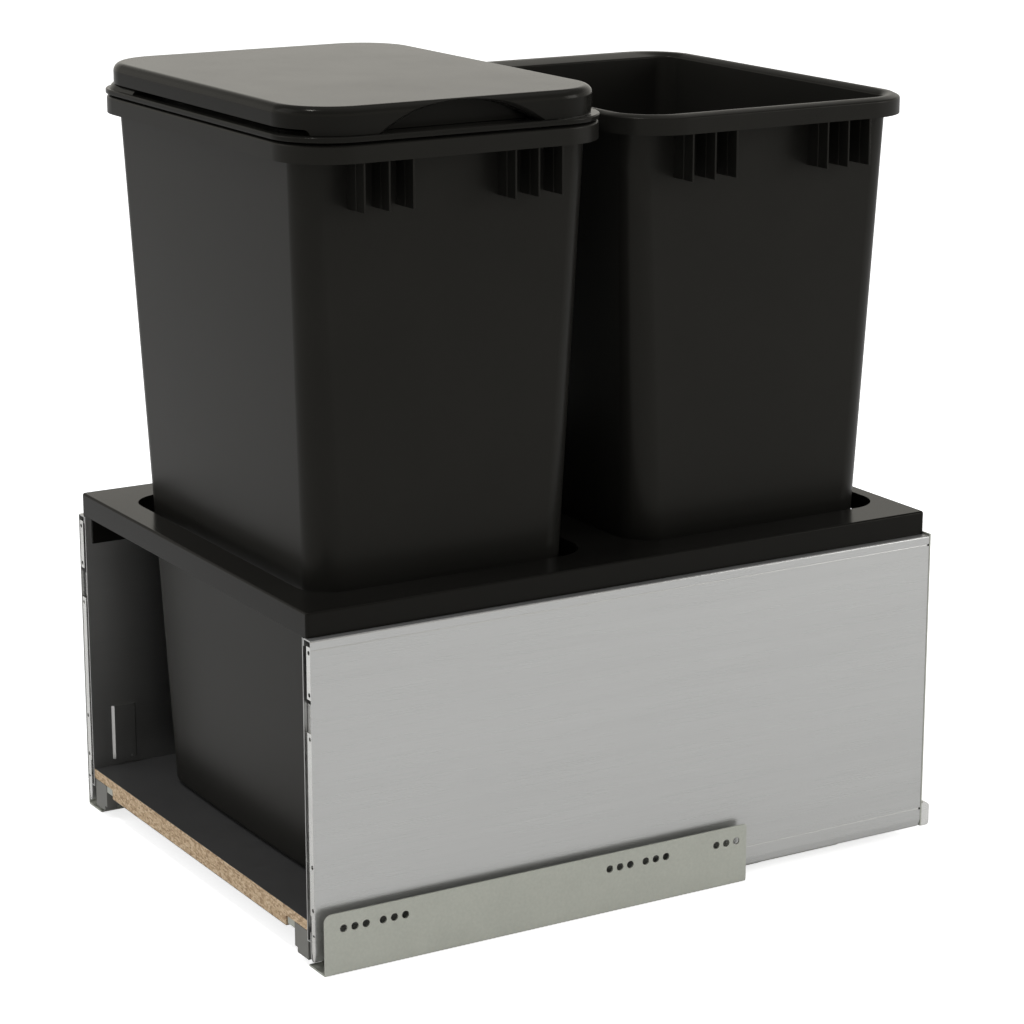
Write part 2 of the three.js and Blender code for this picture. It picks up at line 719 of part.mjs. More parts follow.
/** The lid's flap: a shallow shell with a finger scoop in its free end. */
function lidFlap() {
  const middle = [(LID.left + LID.right) / 2, (LID.front + LID.back) / 2];
  const halfX = (LID.right - LID.left) / 2;
  const halfY = (LID.back - LID.front) / 2;
  const level = (inset, z) => ring({
    halfX: halfX - inset, halfY: halfY - inset, radius: LID.radius - inset, z, middle, arc: 8,
  });
  const skirtBottom = RING_TOP + GAP;
  const fillet = (inset, top, radius, steps) => Array.from({ length: steps + 1 }, (_, k) => {
    const angle = (k / steps) * (Math.PI / 2);
    return level(inset + radius * (1 - Math.cos(angle)), top - radius * (1 - Math.sin(angle)));
  });
  const outside = loft([level(0, skirtBottom), ...fillet(0, LID.top, LID.edgeRadius, 5)]);
  const inside = (grow) => loft([
    level(LID.wall - grow, skirtBottom - 1),
    ...fillet(LID.wall - grow, LID.top - LID.wall + grow, LID.edgeRadius - LID.wall, 3),
  ]);
  const scoop = (grow) => {
    const { from, radius, axisHeight, flareFrom, to, flare } = SCOOP;
    const arch = (start, end, startRadius, endRadius) => bar("x", startRadius + grow, end - start,
      [(start + end) / 2, middle[1], axisHeight], 72, endRadius + grow);
    return arch(from - grow, to, radius, radius).add(arch(flareFrom, to, radius, radius + flare));
  };
  const gapTop = RING_TOP + LID.sideGap;
  const sideNotch = alongY(roundedRectangle(-200, LID.notchEnd, skirtBottom - 8, gapTop, 4), -20, 300)
    .subtract(block(SCOOP.from - 10, 200, middle[1] - 70, middle[1] + 70, skirtBottom - 9, gapTop + 1));
  const hingeGaps = HINGE_PLACES.map((place) => (
    block(LID.left - 1, LID.hingeX + 3.2, place - 12.7, place + 12.7, skirtBottom - 1, 606)
  ));
  const barrels = HINGE_PLACES.map((place) => {
    const web = block(LID.hingeX - 1.4, LID.hingeX + 1.4, place - 7.4, place + 7.4, LID.hingeHeight, LID.top - 1.2);
    return web.add(bar("y", 2.6, 14.8, [LID.hingeX, place, LID.hingeHeight], 12));
  });
  const bores = HINGE_PLACES.map((place) => bar("y", 1.55, 40, [LID.hingeX, place, LID.hingeHeight], 12));
  const shell = outside.subtract(inside(0).subtract(scoop(LID.wall)));
  return cut(cut(shell, [scoop(0), sideNotch, ...hingeGaps]).add(join(barrels)), bores);
}

// ---------------------------------------------------------------- assembly

const product = new THREE.Group();

function place(name, body, material, parent = product) {
  const geometry = body.isBufferGeometry ? body : geometryOf(body);
  const mesh = new THREE.Mesh(geometry, material);
  mesh.name = name;
  parent.add(mesh);
}

/** A right-hand piece and its mirror image on the left. */
function placePair(name, body, material) {
  const right = geometryOf(body);
  place(`${name}_right`, right, material());
  place(`${name}_left`, mirrored(right), material());
}

placePair("cabinet_profile", cabinetProfile(), MATERIAL.galvanised);
placePair("cabinet_rail", cabinetRail(), MATERIAL.galvanised);
placePair("soft_close_housing", softCloseHousing(), MATERIAL.greyPlastic);
placePair("soft_close_catch", softCloseCatch(), MATERIAL.cageBlack);
placePair("intermediate_member", intermediateMember(), MATERIAL.galvanised);
placePair("lower_roller_cage", rollerCage(142, 292, 13.4, 1.7, 26.8), MATERIAL.cageBlack);
placePair("upper_roller_cage", rollerCage(150, 330, 25.05, 2.2, 32.8), MATERIAL.cageBlack);
placePair("drawer_member", drawerMember(), MATERIAL.galvanised);
placePair("member_front_cap", memberFrontCap(), MATERIAL.greyPlastic);
placePair("soft_close_tab", softCloseTab(), MATERIAL.zinc);

placePair("side_outer_skin", sideOuterSkin(), MATERIAL.brushedSteel);
placePair("side_inner_skin", sideInnerSkin(), MATERIAL.innerSteel);
placePair("front_fixing_block", frontFixingBlock(), MATERIAL.zinc);
placePair("front_bracket_upper", frontBracketUpper(), MATERIAL.zinc);
placePair("front_bracket_lower", frontBracketLower(), MATERIAL.zinc);
placePair("adjuster_cap", adjusterCap(), MATERIAL.innerSteel);
placePair("rear_bracket", rearBracket(), MATERIAL.galvanised);
placePair("rear_hook", rearHook(), MATERIAL.zinc);
placePair("back_screw_lower", backScrew(181, 80), MATERIAL.zinc);
placePair("back_screw_upper", backScrew(181, 200), MATERIAL.zinc);

place("bottom_board", bottomBoard(), MATERIAL.board());
place("back_panel", backPanel(), MATERIAL.board());
place("bin_tray", binTray(), MATERIAL.trayBlack());
place("bin_front", wasteBin(BIN_MIDDLE[0]), MATERIAL.binBlack());
place("bin_rear", wasteBin(BIN_MIDDLE[1]), MATERIAL.binBlack());
place("lid_ring", lidRing(), MATERIAL.lidBlack());
place("lid_flap", lidFlap(), MATERIAL.lidBlack());
HINGE_PLACES.forEach((y, i) => {
  place(`lid_hinge_pin_${["front", "rear"][i]}`, lidHingePin(y), MATERIAL.greyPlastic());
});

product.position.y = -PRODUCT_DEPTH / 2;

export default product;
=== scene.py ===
"""The looks of a pull-out waste cabinet: two bins in a steel-sided drawer on runners.

Metres. -Y is the front, the way the drawer opens, and +X is the right-hand side.
"""

import json
import math

import bmesh
import bpy
from mathutils import Euler, Matrix, Vector


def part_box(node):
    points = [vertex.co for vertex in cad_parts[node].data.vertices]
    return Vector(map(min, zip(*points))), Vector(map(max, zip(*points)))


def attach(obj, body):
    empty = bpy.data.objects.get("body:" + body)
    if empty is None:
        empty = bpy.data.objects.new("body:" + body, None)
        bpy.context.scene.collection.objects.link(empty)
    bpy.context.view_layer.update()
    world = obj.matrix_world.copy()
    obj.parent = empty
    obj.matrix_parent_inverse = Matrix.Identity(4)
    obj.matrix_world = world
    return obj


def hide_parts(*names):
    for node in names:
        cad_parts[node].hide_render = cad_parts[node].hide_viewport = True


bl_info = {
    "name": "Pull-out waste cabinet",
    "version": (1, 0, 0),
    "blender": (4, 5, 0),
    "location": "View3D > Sidebar > Waste Cabinet",
    "description": "Models a two-bin waste drawer for a kitchen base cabinet",
    "category": "Add Mesh",
}

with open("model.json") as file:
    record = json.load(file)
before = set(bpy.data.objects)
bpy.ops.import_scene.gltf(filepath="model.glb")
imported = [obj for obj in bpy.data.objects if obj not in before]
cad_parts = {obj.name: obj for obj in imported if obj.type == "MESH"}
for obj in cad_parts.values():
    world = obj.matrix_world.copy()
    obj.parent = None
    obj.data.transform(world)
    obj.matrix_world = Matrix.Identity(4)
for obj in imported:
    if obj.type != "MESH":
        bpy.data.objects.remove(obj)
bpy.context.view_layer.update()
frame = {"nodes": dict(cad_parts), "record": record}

MM = 0.001
NEAR = 0.01 * MM                # how closely a vertex is found by its place
PRODUCT_DEPTH = 0.549
FRONT = -PRODUCT_DEPTH / 2      # the front ends of the drawer sides
BIN_MIDDLES = {"bin_front": FRONT + 0.13945, "bin_rear": FRONT + 0.40965}
RING_TOP = 0.5921               # the face of the ring that the lid closes on
HINGE_RADIUS = 2.6 * MM         # of the lid's barrels and of the ring's knuckles
HINGE_BORE = 1.55 * MM
SYSTEM_PITCH = 32 * MM
HOLE_GROUPS = (0, 1, 7, 8, 10)  # the profile's groups of holes, counted in system pitches
SEEN_RAYS = ("Is Camera Ray", "Is Glossy Ray", "Is Transmission Ray")
REFLECTED_WHITE = (0.86, 0.835, 0.765)
FINISHES = {}                   # the material of each slot, made by the first operator
OWN_FINISH = {                  # pieces whose finish is not the one that their slot names
    "back_panel": "back",
    # the adjuster caps take the inner skins' darkened steel, which is painted shade
    "adjuster_cap_right": "inner_steel",
    "adjuster_cap_left": "inner_steel",
}


# -------- sizes and colours


def length(name, description, default):
    return bpy.props.FloatProperty(
        name=name, description=description, default=default, unit="LENGTH")


def colour(name, description, default):
    return bpy.props.FloatVectorProperty(
        name=name, description=description, default=default, subtype="COLOR")


class BinSizes(bpy.types.PropertyGroup):
    foot: length("Foot height", "Underside of the bins", 0.0374)
    foot_half_width: length("Foot half width", "Half the outside width at the foot", 0.1416)
    foot_half_depth: length("Foot half depth", "Half the outside depth at the foot", 0.0962)
    top_half_width: length("Top half width", "Half the outside width under the rim", 0.15413)
    top_half_depth: length("Top half depth", "Half the outside depth under the rim", 0.1194)
    foot_radius: length("Foot corner radius", "Radius of the walls' corners at the foot", 0.027)
    top_radius: length("Top corner radius", "Radius of the walls' corners under the rim", 0.01725)
    bow: length("Bow", "How far the long walls swell at the foot", 0.0024)
    rim_half_width: length("Rim half width", "Half the rim's width", 0.1784)
    rim_half_depth: length("Rim half depth", "Half the rim's depth", 0.12835)
    rim_radius: length("Rim corner radius", "Radius of the rim's corners", 0.0444)
    rim_top: length("Rim height", "Top of the rim", 0.588)
    crest_inset: length("Crest inset", "Distance from the rim's outer face to its crest", 0.006)
    inner_inset: length("Inner inset", "Where the rim's inner slope starts", 0.0115)
    inner_fall: length("Inner fall", "Fall from the crest to the inner slope", 0.00045)
    inner_drop: length("Inner drop", "How far the rim falls from its crest to the wall", 0.0030)
    outer_drop: length("Outer drop", "How far the rim falls from its crest outwards", 0.0020)
    band: length("Rim band", "Height of the band round the rim", 0.0144)
    wall: length("Wall", "Thickness of the bin's wall", 0.0024)
    rib_first: length("First rib", "Place of the first rib from the middle", 0.041)
    rib_second: length("Second rib", "Place of the second rib from the middle", 0.060)
    rib_third: length("Third rib", "Place of the third rib from the middle", 0.0795)
    rib_height: length("Rib height", "How far the ribs reach below the band", 0.035)
    rib_step: length("Rib step", "Where a rib thins towards the band", 0.166)
    rib_thick: length("Rib root", "Thickness of a rib at the wall", 0.0024)
    rib_thin: length("Rib end", "Thickness of a rib at the band", 0.0015)


class LidSizes(bpy.types.PropertyGroup):
    half_width: length("Half width", "Half the lid's width", 0.17315)
    half_depth: length("Half depth", "Half the lid's depth", 0.1259)
    middle: length("Middle", "Middle of the lid's width", 0.00165)
    radius: length("Corner radius", "Radius of the lid's corners", 0.046)
    top: length("Top", "Height of the lid's top", 0.612)
    edge_radius: length("Edge radius", "Rounding of the top edge", 0.0065)
    wall: length("Wall", "Thickness of the lid", 0.0024)
    ring_overhang: length("Ring overhang", "How far the ring stands over the rim", 0.0008)
    side_gap: length("Side gap", "Gap between the skirt and the ring at front and back", 0.0044)
    gap_end: length("Side gap end", "Where the side gap ends", 0.161)
    plinth_end: length("Plinth end", "Where the raised corners of the ring end", -0.100)
    hinge_x: length("Hinge place", "Place of the hinge across the width", -0.1645)
    hinge_z: length("Hinge height", "Height of the hinge", 0.601)
    hinge_spacing: length("Hinge spacing", "Distance between the two hinges", 0.110)
    scoop_from: length("Scoop depth", "Place of the scoop's back wall", 0.158)
    scoop_radius: length("Scoop radius", "Radius of the scoop's arch", 0.1105)
    scoop_axis: length("Scoop axis", "Height of the arch's centre", 0.4999)
    scoop_flare_from: length("Scoop flare", "Where the arch begins to flare", 0.1665)
    lip_half_width: length("Lip half width", "Half the width of the lip inside the skirt", 0.1434)
    lip_half_depth: length("Lip half depth", "Half the depth of the lip inside the skirt", 0.1108)
    lip_radius: length("Lip corner radius", "Radius of the inner lip's corners", 0.034)
    lip_wall: length("Lip thickness", "Thickness of the inner lip", 0.0018)


class TraySizes(bpy.types.PropertyGroup):
    half_width: length("Half width", "Half the tray's width", 0.1948)
    half_depth: length("Half depth", "Half the tray's depth", 0.26935)
    corner_radius: length("Corner radius", "Radius of the tray's corners", 0.0028)
    edge_radius: length("Edge radius", "Rounding of the top edge", 0.0018)
    bottom: length("Bottom", "Lower edge of the skirt", 0.2487)
    top: length("Top", "Height of the tray's top", 0.2668)
    wall: length("Wall", "Thickness of the tray", 0.0025)
    opening_half_width: length("Opening half width", "Half the width of an opening", 0.160)
    opening_depth: length("Opening depth", "Depth of an opening", 0.2325)
    opening_radius: length("Opening radius", "Radius of an opening's corners", 0.028)
    first_opening: length("First opening", "Front of the first opening", 0.024)
    second_opening: length("Second opening", "Front of the second opening", 0.2945)
    flange_x: length("Flange place", "Outer face of the inner flanges", 0.1881)
    flange_bottom: length("Flange bottom", "Lower edge of the inner flanges", 0.226)


class SideSizes(bpy.types.PropertyGroup):
    outer: length("Outer face", "Outer face of a drawer side", 0.2012)
    depth: length("Depth", "Length of a drawer side", 0.5395)
    top: length("Top", "Top of a drawer side", 0.2484)
    bottom: length("Bottom", "Foot of a drawer side", 0.0079)
    sheet: length("Sheet", "Thickness of the steel", 0.001)
    crease_high: length("Upper crease", "Upper crease below the top", 0.007)
    crease_low: length("Lower crease", "Lower crease above the foot", 0.0165)


class ProfileSizes(bpy.types.PropertyGroup):
    outer: length("Outer face", "Face against the cabinet's side panel", 0.209)
    floor_from: length("Floor edge", "Inner edge of the floor", 0.184)
    height: length("Height", "Height of the upright flange", 0.0466)
    front: length("Front", "Distance behind the front of the sides", 0.0033)
    length: length("Length", "Length of the profile", 0.363)
    steel: length("Steel", "Thickness of the steel", 0.0015)
    hole_height: length("Hole height", "Height of the screw holes", 0.0345)
    hole_radius: length("Hole radius", "Radius of the screw holes", 0.0029)
    hole_front: length("First hole", "First hole behind the front of the sides", 0.0186)
    hole_pitch: length("Hole pitch", "Distance between the holes of a group", 0.0091)


class BracketSizes(bpy.types.PropertyGroup):
    outer: length("Outer face", "Outer face of the brackets", 0.2)
    steel: length("Steel", "Thickness of the steel", 0.0012)
    upper_from: length("Upper foot", "Lower end of the upper bracket", 0.2045)
    upper_to: length("Upper head", "Upper end of the upper bracket", 0.2434)
    lower_from: length("Lower foot", "Lower end of the lower bracket", 0.0426)
    lower_to: length("Lower head", "Upper end of the lower bracket", 0.1799)
    hole_x: length("Hole place", "Place of the screw holes across the width", 0.1974)
    hole_radius: length("Hole radius", "Radius of the screw holes", 0.0016)


class Colours(bpy.types.PropertyGroup):
    bin_plastic: colour("Bin plastic", "Colour of the bins and the lid", (0.0112, 0.0108, 0.0095))
    tray_plastic: colour("Tray plastic", "Colour of the tray", (0.0070, 0.0067, 0.0060))
    side_steel: colour("Side steel", "Colour of the drawer sides", (0.49, 0.492, 0.486))
    galvanised: colour("Galvanised steel", "Colour of the runners", (0.43, 0.44, 0.39))
    zinc: colour("Zinc plate", "Colour of the brackets and screws", (0.70, 0.70, 0.685))
    grey_plastic: colour("Grey plastic", "Colour of the caps", (0.15, 0.15, 0.14))
    laminate: colour("Laminate", "Colour of the boards' faces", (0.045, 0.045, 0.045))


# -------- materials


class Varying:
    """A number that changes over a surface. Arithmetic on it adds Math nodes."""

    def __init__(self, graph, socket):
        self.graph = graph
        self.socket = socket

    def _maths(self, operation, *values):
        node = self.graph.node("ShaderNodeMath", {"operation": operation}, values)
        return Varying(self.graph, node.outputs[0])

    def __add__(self, other):
        return self._maths("ADD", self, other)

    __radd__ = __add__

    def __sub__(self, other):
        return self._maths("SUBTRACT", self, other)

    def __rsub__(self, other):
        return self._maths("SUBTRACT", other, self)

    def __mul__(self, other):
        return self._maths("MULTIPLY", self, other)

    __rmul__ = __mul__

    def __gt__(self, other):
        return self._maths("GREATER_THAN", self, other)

    def __lt__(self, other):
        return self._maths("LESS_THAN", self, other)


class Graph:
    """The nodes of a material or of the world."""

    def __init__(self, tree):
        self.nodes = tree.nodes
        self.links = tree.links

    def fill(self, socket, value):
        """Links a socket to what varies, or gives it a fixed value."""
        if isinstance(value, Varying):
            value = value.socket
        if isinstance(value, bpy.types.NodeSocket):
            self.links.new(value, socket)
        else:
            socket.default_value = value

    def node(self, kind, settings=None, sockets=()):
        """A node of a type, with its settings made first and then its sockets filled."""
        node = self.nodes.new(kind)
        for key, value in (settings or {}).items():
            setattr(node, key, value)
        pairs = sockets.items() if isinstance(sockets, dict) else enumerate(sockets)
        for key, value in pairs:
            self.fill(node.inputs[key], value)
        return node

    def mix(self, factor, first, second):
        """Two colours mixed by a factor."""
        first, second = ((*c, 1.0) if isinstance(c, tuple) else c for c in (first, second))
        node = self.node("ShaderNodeMix", {"data_type": "RGBA"}, {0: factor, 6: first, 7: second})
        return node.outputs[2]


class Finish(Graph):
    """One procedural material, on object coordinates."""

    def __init__(self, name, **fixed):
        self.material = bpy.data.materials.new(name)
        self.material.use_nodes = True
        super().__init__(self.material.node_tree)
        self.shader = self.nodes["Principled BSDF"]
        self.coordinates = self.node("ShaderNodeTexCoord").outputs
        for socket, value in fixed.items():
            self.shader.inputs[socket.replace("_", " ")].default_value = value

    def scaled(self, x, y, z):
        """Object coordinates stretched along the axes."""
        node = self.node("ShaderNodeMapping", None, {
            "Vector": self.coordinates["Object"], "Scale": (x, y, z)})
        return node.outputs["Vector"]

    def noise(self, scale, detail=3.0, roughness=0.55, at=None):
        node = self.node("ShaderNodeTexNoise", None, {
            "Vector": at or self.coordinates["Object"], "Scale": scale,
            "Detail": detail, "Roughness": roughness})
        return Varying(self, node.outputs["Fac"])

    def cells(self, scale, at):
        """A tone drawn for each cell of a broken pattern."""
        node = self.node("ShaderNodeTexVoronoi", None, {"Vector": at, "Scale": scale})
        tone = self.node("ShaderNodeSeparateColor", None, {0: node.outputs["Color"]})
        return Varying(self, tone.outputs[0])

    def component(self, kind, axis):
        """One component of the object coordinates, or of the surface's own normal."""
        node = self.node("ShaderNodeSeparateXYZ", None, {0: self.coordinates[kind]})
        return Varying(self, node.outputs[axis])

    def ramp(self, value, stops):
        """A colour by value; stops are (position, colour) pairs."""
        node = self.node("ShaderNodeValToRGB", None, {0: value})
        elements = node.color_ramp.elements
        while len(elements) < len(stops):
            elements.new(0.5)
        for element, (position, colour) in zip(elements, stops):
            element.position = position
            element.color = (*colour, 1.0)
        return node.outputs["Color"]

    def feed(self, **sockets):
        """Fills the shader's sockets, named with underscores for their spaces."""
        for name, value in sockets.items():
            self.fill(self.shader.inputs[name.replace("_", " ")], value)

    def bump(self, height, strength, distance):
        node = self.node("ShaderNodeBump", None, {
            "Height": height, "Strength": strength, "Distance": distance})
        self.feed(Normal=node.outputs["Normal"])


def shade(colour, factor):
    """A colour made darker or lighter."""
    return tuple(min(c * factor, 1.0) for c in colour)


def moulded_plastic(name, colour, roughness, ior):
    """Moulded plastic: a fine spark-eroded grain, with faint cloudy marks from handling."""
    f = Finish(name, IOR=ior, Specular_Tint=(1.0, 0.97, 0.88, 1.0))
    clouds = f.noise(9.0, detail=4.0)
    fine = f.noise(1500.0, detail=2.0)
    f.feed(Base_Color=f.mix(clouds, shade(colour, 0.8), shade(colour, 1.25)))
    f.feed(Roughness=(clouds - 0.5) * 0.1 + (fine - 0.5) * 0.06 + roughness)
    f.bump(fine, strength=0.04, distance=0.2 * MM)
    return f.material


def brushed_steel(name, colour, roughness, depth=0.12, metallic=1.0):
    """Steel brushed along the drawer's depth."""
    f = Finish(name, Metallic=metallic)
    lines = f.noise(1.0, detail=5.0, roughness=0.65, at=f.scaled(2600, 7, 2600))
    broad = f.noise(1.0, detail=2.0, roughness=0.5, at=f.scaled(60, 3, 60))
    f.feed(Base_Color=f.mix(lines * 0.7 + broad * 0.3, shade(colour, 0.86), shade(colour, 1.1)))
    f.feed(Roughness=(lines - 0.5) * 0.22 + roughness)
    f.bump(lines, strength=depth, distance=0.05 * MM)
    return f.material


def galvanised_steel(name, colour, roughness):
    """Zinc-coated sheet: dull, with a fine mottle and faint broad clouds."""
    f = Finish(name, Metallic=0.4)
    mottle = f.noise(420.0, detail=3.0, roughness=0.7)
    clouds = f.noise(35.0, detail=3.0, roughness=0.6)
    f.feed(Base_Color=f.mix(mottle * 0.6 + clouds * 0.4, shade(colour, 0.78), shade(colour, 1.2)))
    f.feed(Roughness=(mottle - 0.5) * 0.12 + (clouds - 0.5) * 0.12 + roughness)
    f.bump(f.noise(600.0, detail=2.0), strength=0.05, distance=0.1 * MM)
    return f.material


def bright_zinc(name, colour, roughness):
    """Zinc plate: bright, with soft clouds."""
    f = Finish(name, Metallic=1.0)
    clouds = f.noise(70.0, detail=4.0)
    fine = f.noise(900.0, detail=2.0)
    f.feed(Base_Color=f.mix(clouds, shade(colour, 0.82), shade(colour, 1.1)))
    f.feed(Roughness=(clouds - 0.5) * 0.18 + (fine - 0.5) * 0.08 + roughness)
    f.bump(fine, strength=0.06, distance=0.1 * MM)
    return f.material


def faced_chipboard(name, laminate, across, corners, roughness):
    """Chipboard with laminate on the faces that look along one axis, and raw, speckled chips
    on its sawn edges."""
    f = Finish(name, Specular_IOR_Level=0.35)
    chips = f.cells(620.0, f.scaled(0.6, 0.6, 1.2))
    dust = f.noise(1300.0, detail=3.0, roughness=0.7)
    wood = f.ramp(chips * 0.5 + dust * 0.5, [
        (0.15, (0.23, 0.145, 0.08)), (0.38, (0.45, 0.315, 0.19)),
        (0.6, (0.60, 0.45, 0.29)), (0.85, (0.72, 0.58, 0.41))])
    place = f.component("Object", across.upper())
    slope = f.component("Normal", across.upper())
    low, high = (getattr(corner, across) for corner in corners)
    skin = 0.35 * MM                # thickness of the laminate
    edge = (slope * slope < 0.5) * (place > low + skin) * (place < high - skin)
    clouds = f.noise(60.0, detail=4.0)
    face = f.mix(clouds, shade(laminate, 0.85), shade(laminate, 1.18))
    f.feed(Base_Color=f.mix(edge, face, wood))
    f.feed(Roughness=edge * 0.35 + clouds * 0.1 + roughness)
    f.bump(dust * edge + f.noise(700.0, detail=2.0) * 0.3, strength=0.25, distance=0.3 * MM)
    return f.material


# -------- modelling by operator


def start_clean():
    """Leaves edit mode, with nothing selected."""
    if bpy.context.object and bpy.context.object.mode != "OBJECT":
        bpy.ops.object.mode_set(mode="OBJECT")
    bpy.ops.object.select_all(action="DESELECT")


def take(obj):
    """Makes an object the only one selected, in object mode."""
    start_clean()
    obj.select_set(True)
    bpy.context.view_layer.objects.active = obj


def edit(obj):
    """Opens an object for editing by its vertices."""
    take(obj)
    bpy.ops.object.mode_set(mode="EDIT")
    bpy.ops.mesh.select_mode(type="VERT")


def begin(name):
    """An empty mesh object, open for editing."""
    start_clean()
    bpy.ops.mesh.primitive_plane_add(size=1)
    obj = bpy.context.object
    obj.name = name
    obj.data.name = name
    edit(obj)
    pick_all()
    bpy.ops.mesh.delete(type="VERT")
    return obj


def pick_all():
    bpy.ops.mesh.select_all(action="SELECT")


def pick(obj, test):
    """Selects the vertices that pass, with the edges and faces that they span."""
    mesh = bmesh.from_edit_mesh(obj.data)
    layer = mesh.verts.layers.int.get("ring")
    for item in (*mesh.faces, *mesh.edges, *mesh.verts):
        item.select = False
    for vert in mesh.verts:
        vert.select = bool(test(vert.co, vert[layer] if layer else 0))
    mesh.select_flush(True)
    bmesh.update_edit_mesh(obj.data)


def move(by):
    bpy.ops.transform.translate(value=by)


def stretch(by, about=(0, 0, 0)):
    bpy.ops.transform.resize(value=by, center_override=about)


def turn_about_x(angle):
    """With no window, Blender turns the opposite way to the angle's sign."""
    bpy.ops.transform.rotate(value=angle, orient_axis="X", center_override=(0, 0, 0))


def extrude(by):
    bpy.ops.mesh.extrude_region_move(TRANSFORM_OT_translate={"value": by})


def number_ring(obj, number):
    """Gives a number to every vertex that has none yet."""
    mesh = bmesh.from_edit_mesh(obj.data)
    layer = mesh.verts.layers.int.get("ring") or mesh.verts.layers.int.new("ring")
    for vert in mesh.verts:
        if vert[layer] == 0:
            vert[layer] = number
    bmesh.update_edit_mesh(obj.data)


def swell(obj, half_x, half_y, amount):
    """Pushes the long walls of the newest ring outwards, most at their middle."""
    mesh = bmesh.from_edit_mesh(obj.data)
    layer = mesh.verts.layers.int.get("ring")
    newest = (v.co for v in mesh.verts if not layer or v[layer] == 0)
    for x, y in {(round(co.x, 6), round(co.y, 6)) for co in newest}:
        pick(obj, lambda co, ring: ring == 0 and abs(co.x - x) < NEAR and abs(co.y - y) < NEAR)
        move((0, amount * (1 - (x / half_x) ** 2) * y / half_y, 0))


def add_ring(obj, number, half_x, half_y, radius, z, bow=0.0, corner=10, cuts=(7, 3)):
    """Adds a rounded rectangle of edges, centred on the Z axis."""
    bpy.ops.mesh.select_all(action="DESELECT")
    bpy.ops.mesh.primitive_plane_add(size=2)
    stretch((half_x, half_y, 1))
    move((0, 0, z))
    bpy.ops.mesh.bevel(offset=radius, segments=corner, affect="VERTICES")
    bpy.ops.mesh.delete(type="ONLY_FACE")
    for axis, reach, count in ((1, half_y, cuts[0]), (0, half_x, cuts[1])):
        if count:
            pick(obj, lambda co, ring: ring == 0 and abs(abs(co[axis]) - reach) < NEAR)
            bpy.ops.mesh.subdivide(number_cuts=count)
    if bow:
        swell(obj, half_x, half_y, bow)
    number_ring(obj, number)


def grown(outline, by):
    """A rounded rectangle's half sizes and radius, let out all round."""
    return tuple(size + by for size in outline)


def bridge(obj, first, second):
    pick(obj, lambda co, ring: ring in (first, second))
    bpy.ops.mesh.bridge_edge_loops()


def fill(obj, number):
    pick(obj, lambda co, ring: ring == number)
    bpy.ops.mesh.edge_face_add()


def round_ring(obj, number, width, segments):
    """Rounds the edge that a ring runs along."""
    pick(obj, lambda co, ring: ring == number)
    bpy.ops.mesh.bevel(offset=width, segments=segments, affect="EDGES")


def skin_rings(name, rings, ends=(), loop=False, **settings):
    """Rings bridged in order; ends lists the rings that are filled."""
    obj = begin(name)
    for number, ring in enumerate(rings, start=1):
        add_ring(obj, number, *ring, **settings)
    for number in range(1, len(rings)):
        bridge(obj, number, number + 1)
    if loop:
        bridge(obj, len(rings), 1)
    for number in ends:
        fill(obj, number)
    pick_all()
    bpy.ops.mesh.normals_make_consistent(inside=False)
    return obj


def turn_up(obj):
    """Makes the largest level face look up, and the rest of the sheet agree with it."""
    mesh = bmesh.from_edit_mesh(obj.data)
    level = max((f for f in mesh.faces if abs(f.normal.z) > 0.99), key=lambda f: f.calc_area())
    if level.normal.z < 0:
        pick_all()
        bpy.ops.mesh.flip_normals()


def apply(obj, kind, **settings):
    """Adds a modifier and applies it."""
    take(obj)
    modifier = obj.modifiers.new(kind.lower(), kind)
    for key, value in settings.items():
        setattr(modifier, key, value)
    bpy.ops.object.modifier_apply(modifier=modifier.name)


def combine(obj, tool, operation="DIFFERENCE"):
    """Cuts one solid with another, or joins them, and removes the tool."""
    take(tool)
    apply(obj, "BOOLEAN", object=tool, operation=operation, solver="EXACT")
    bpy.data.objects.remove(tool)


def weld_into(obj, others):
    """Takes other objects' meshes into one object."""
    take(obj)
    for other in others:
        other.select_set(True)
    bpy.ops.object.join()
    return obj


def box(name, x0, x1, y0, y1, z0, z1):
    """A plain block between two corners."""
    start_clean()
    bpy.ops.mesh.primitive_cube_add(size=1)
    obj = bpy.context.object
    obj.name = name
    edit(obj)
    pick_all()
    stretch((x1 - x0, y1 - y0, z1 - z0))
    move(((x0 + x1) / 2, (y0 + y1) / 2, (z0 + z1) / 2))
    start_clean()
    return obj


def rod(name, axis, radius, length, centre, sides=32):
    """A round bar lying along X or Y."""
    start_clean()
    turn = (0, math.pi / 2, 0) if axis == "x" else (math.pi / 2, 0, 0)
    bpy.ops.mesh.primitive_cylinder_add(
        vertices=sides, radius=radius, depth=length, rotation=turn)
    obj = bpy.context.object
    obj.name = name
    bpy.ops.object.transform_apply(location=True, rotation=True, scale=True)
    shift(obj, centre)
    return obj


def shift(obj, by):
    edit(obj)
    pick_all()
    move(by)
    start_clean()


def copied(obj, name, by=(0, 0, 0), mirror=False):
    """A copy with its own mesh, moved or mirrored to the other side."""
    copy = obj.copy()
    copy.data = obj.data.copy()
    copy.name = name
    copy.data.name = name
    bpy.context.collection.objects.link(copy)
    edit(copy)
    pick_all()
    if mirror:
        stretch((-1, 1, 1))
        bpy.ops.mesh.flip_normals()
    move(by)
    start_clean()
    return copy


def bent_sheet(name, path, front, back):
    """A sheet along Y whose section is a path of X and Z points."""
    obj = begin(name)
    bpy.ops.mesh.primitive_plane_add(size=1)
    pick(obj, lambda co, ring: co.x > 0)
    bpy.ops.mesh.delete(type="VERT")
    pick_all()
    stretch((1, back - front, 1))
    x, z = path[0]
    move((x + 0.5, (front + back) / 2, z))
    for x1, z1 in path[1:]:
        extrude((x1 - x, 0, z1 - z))
        x, z = x1, z1
    return obj


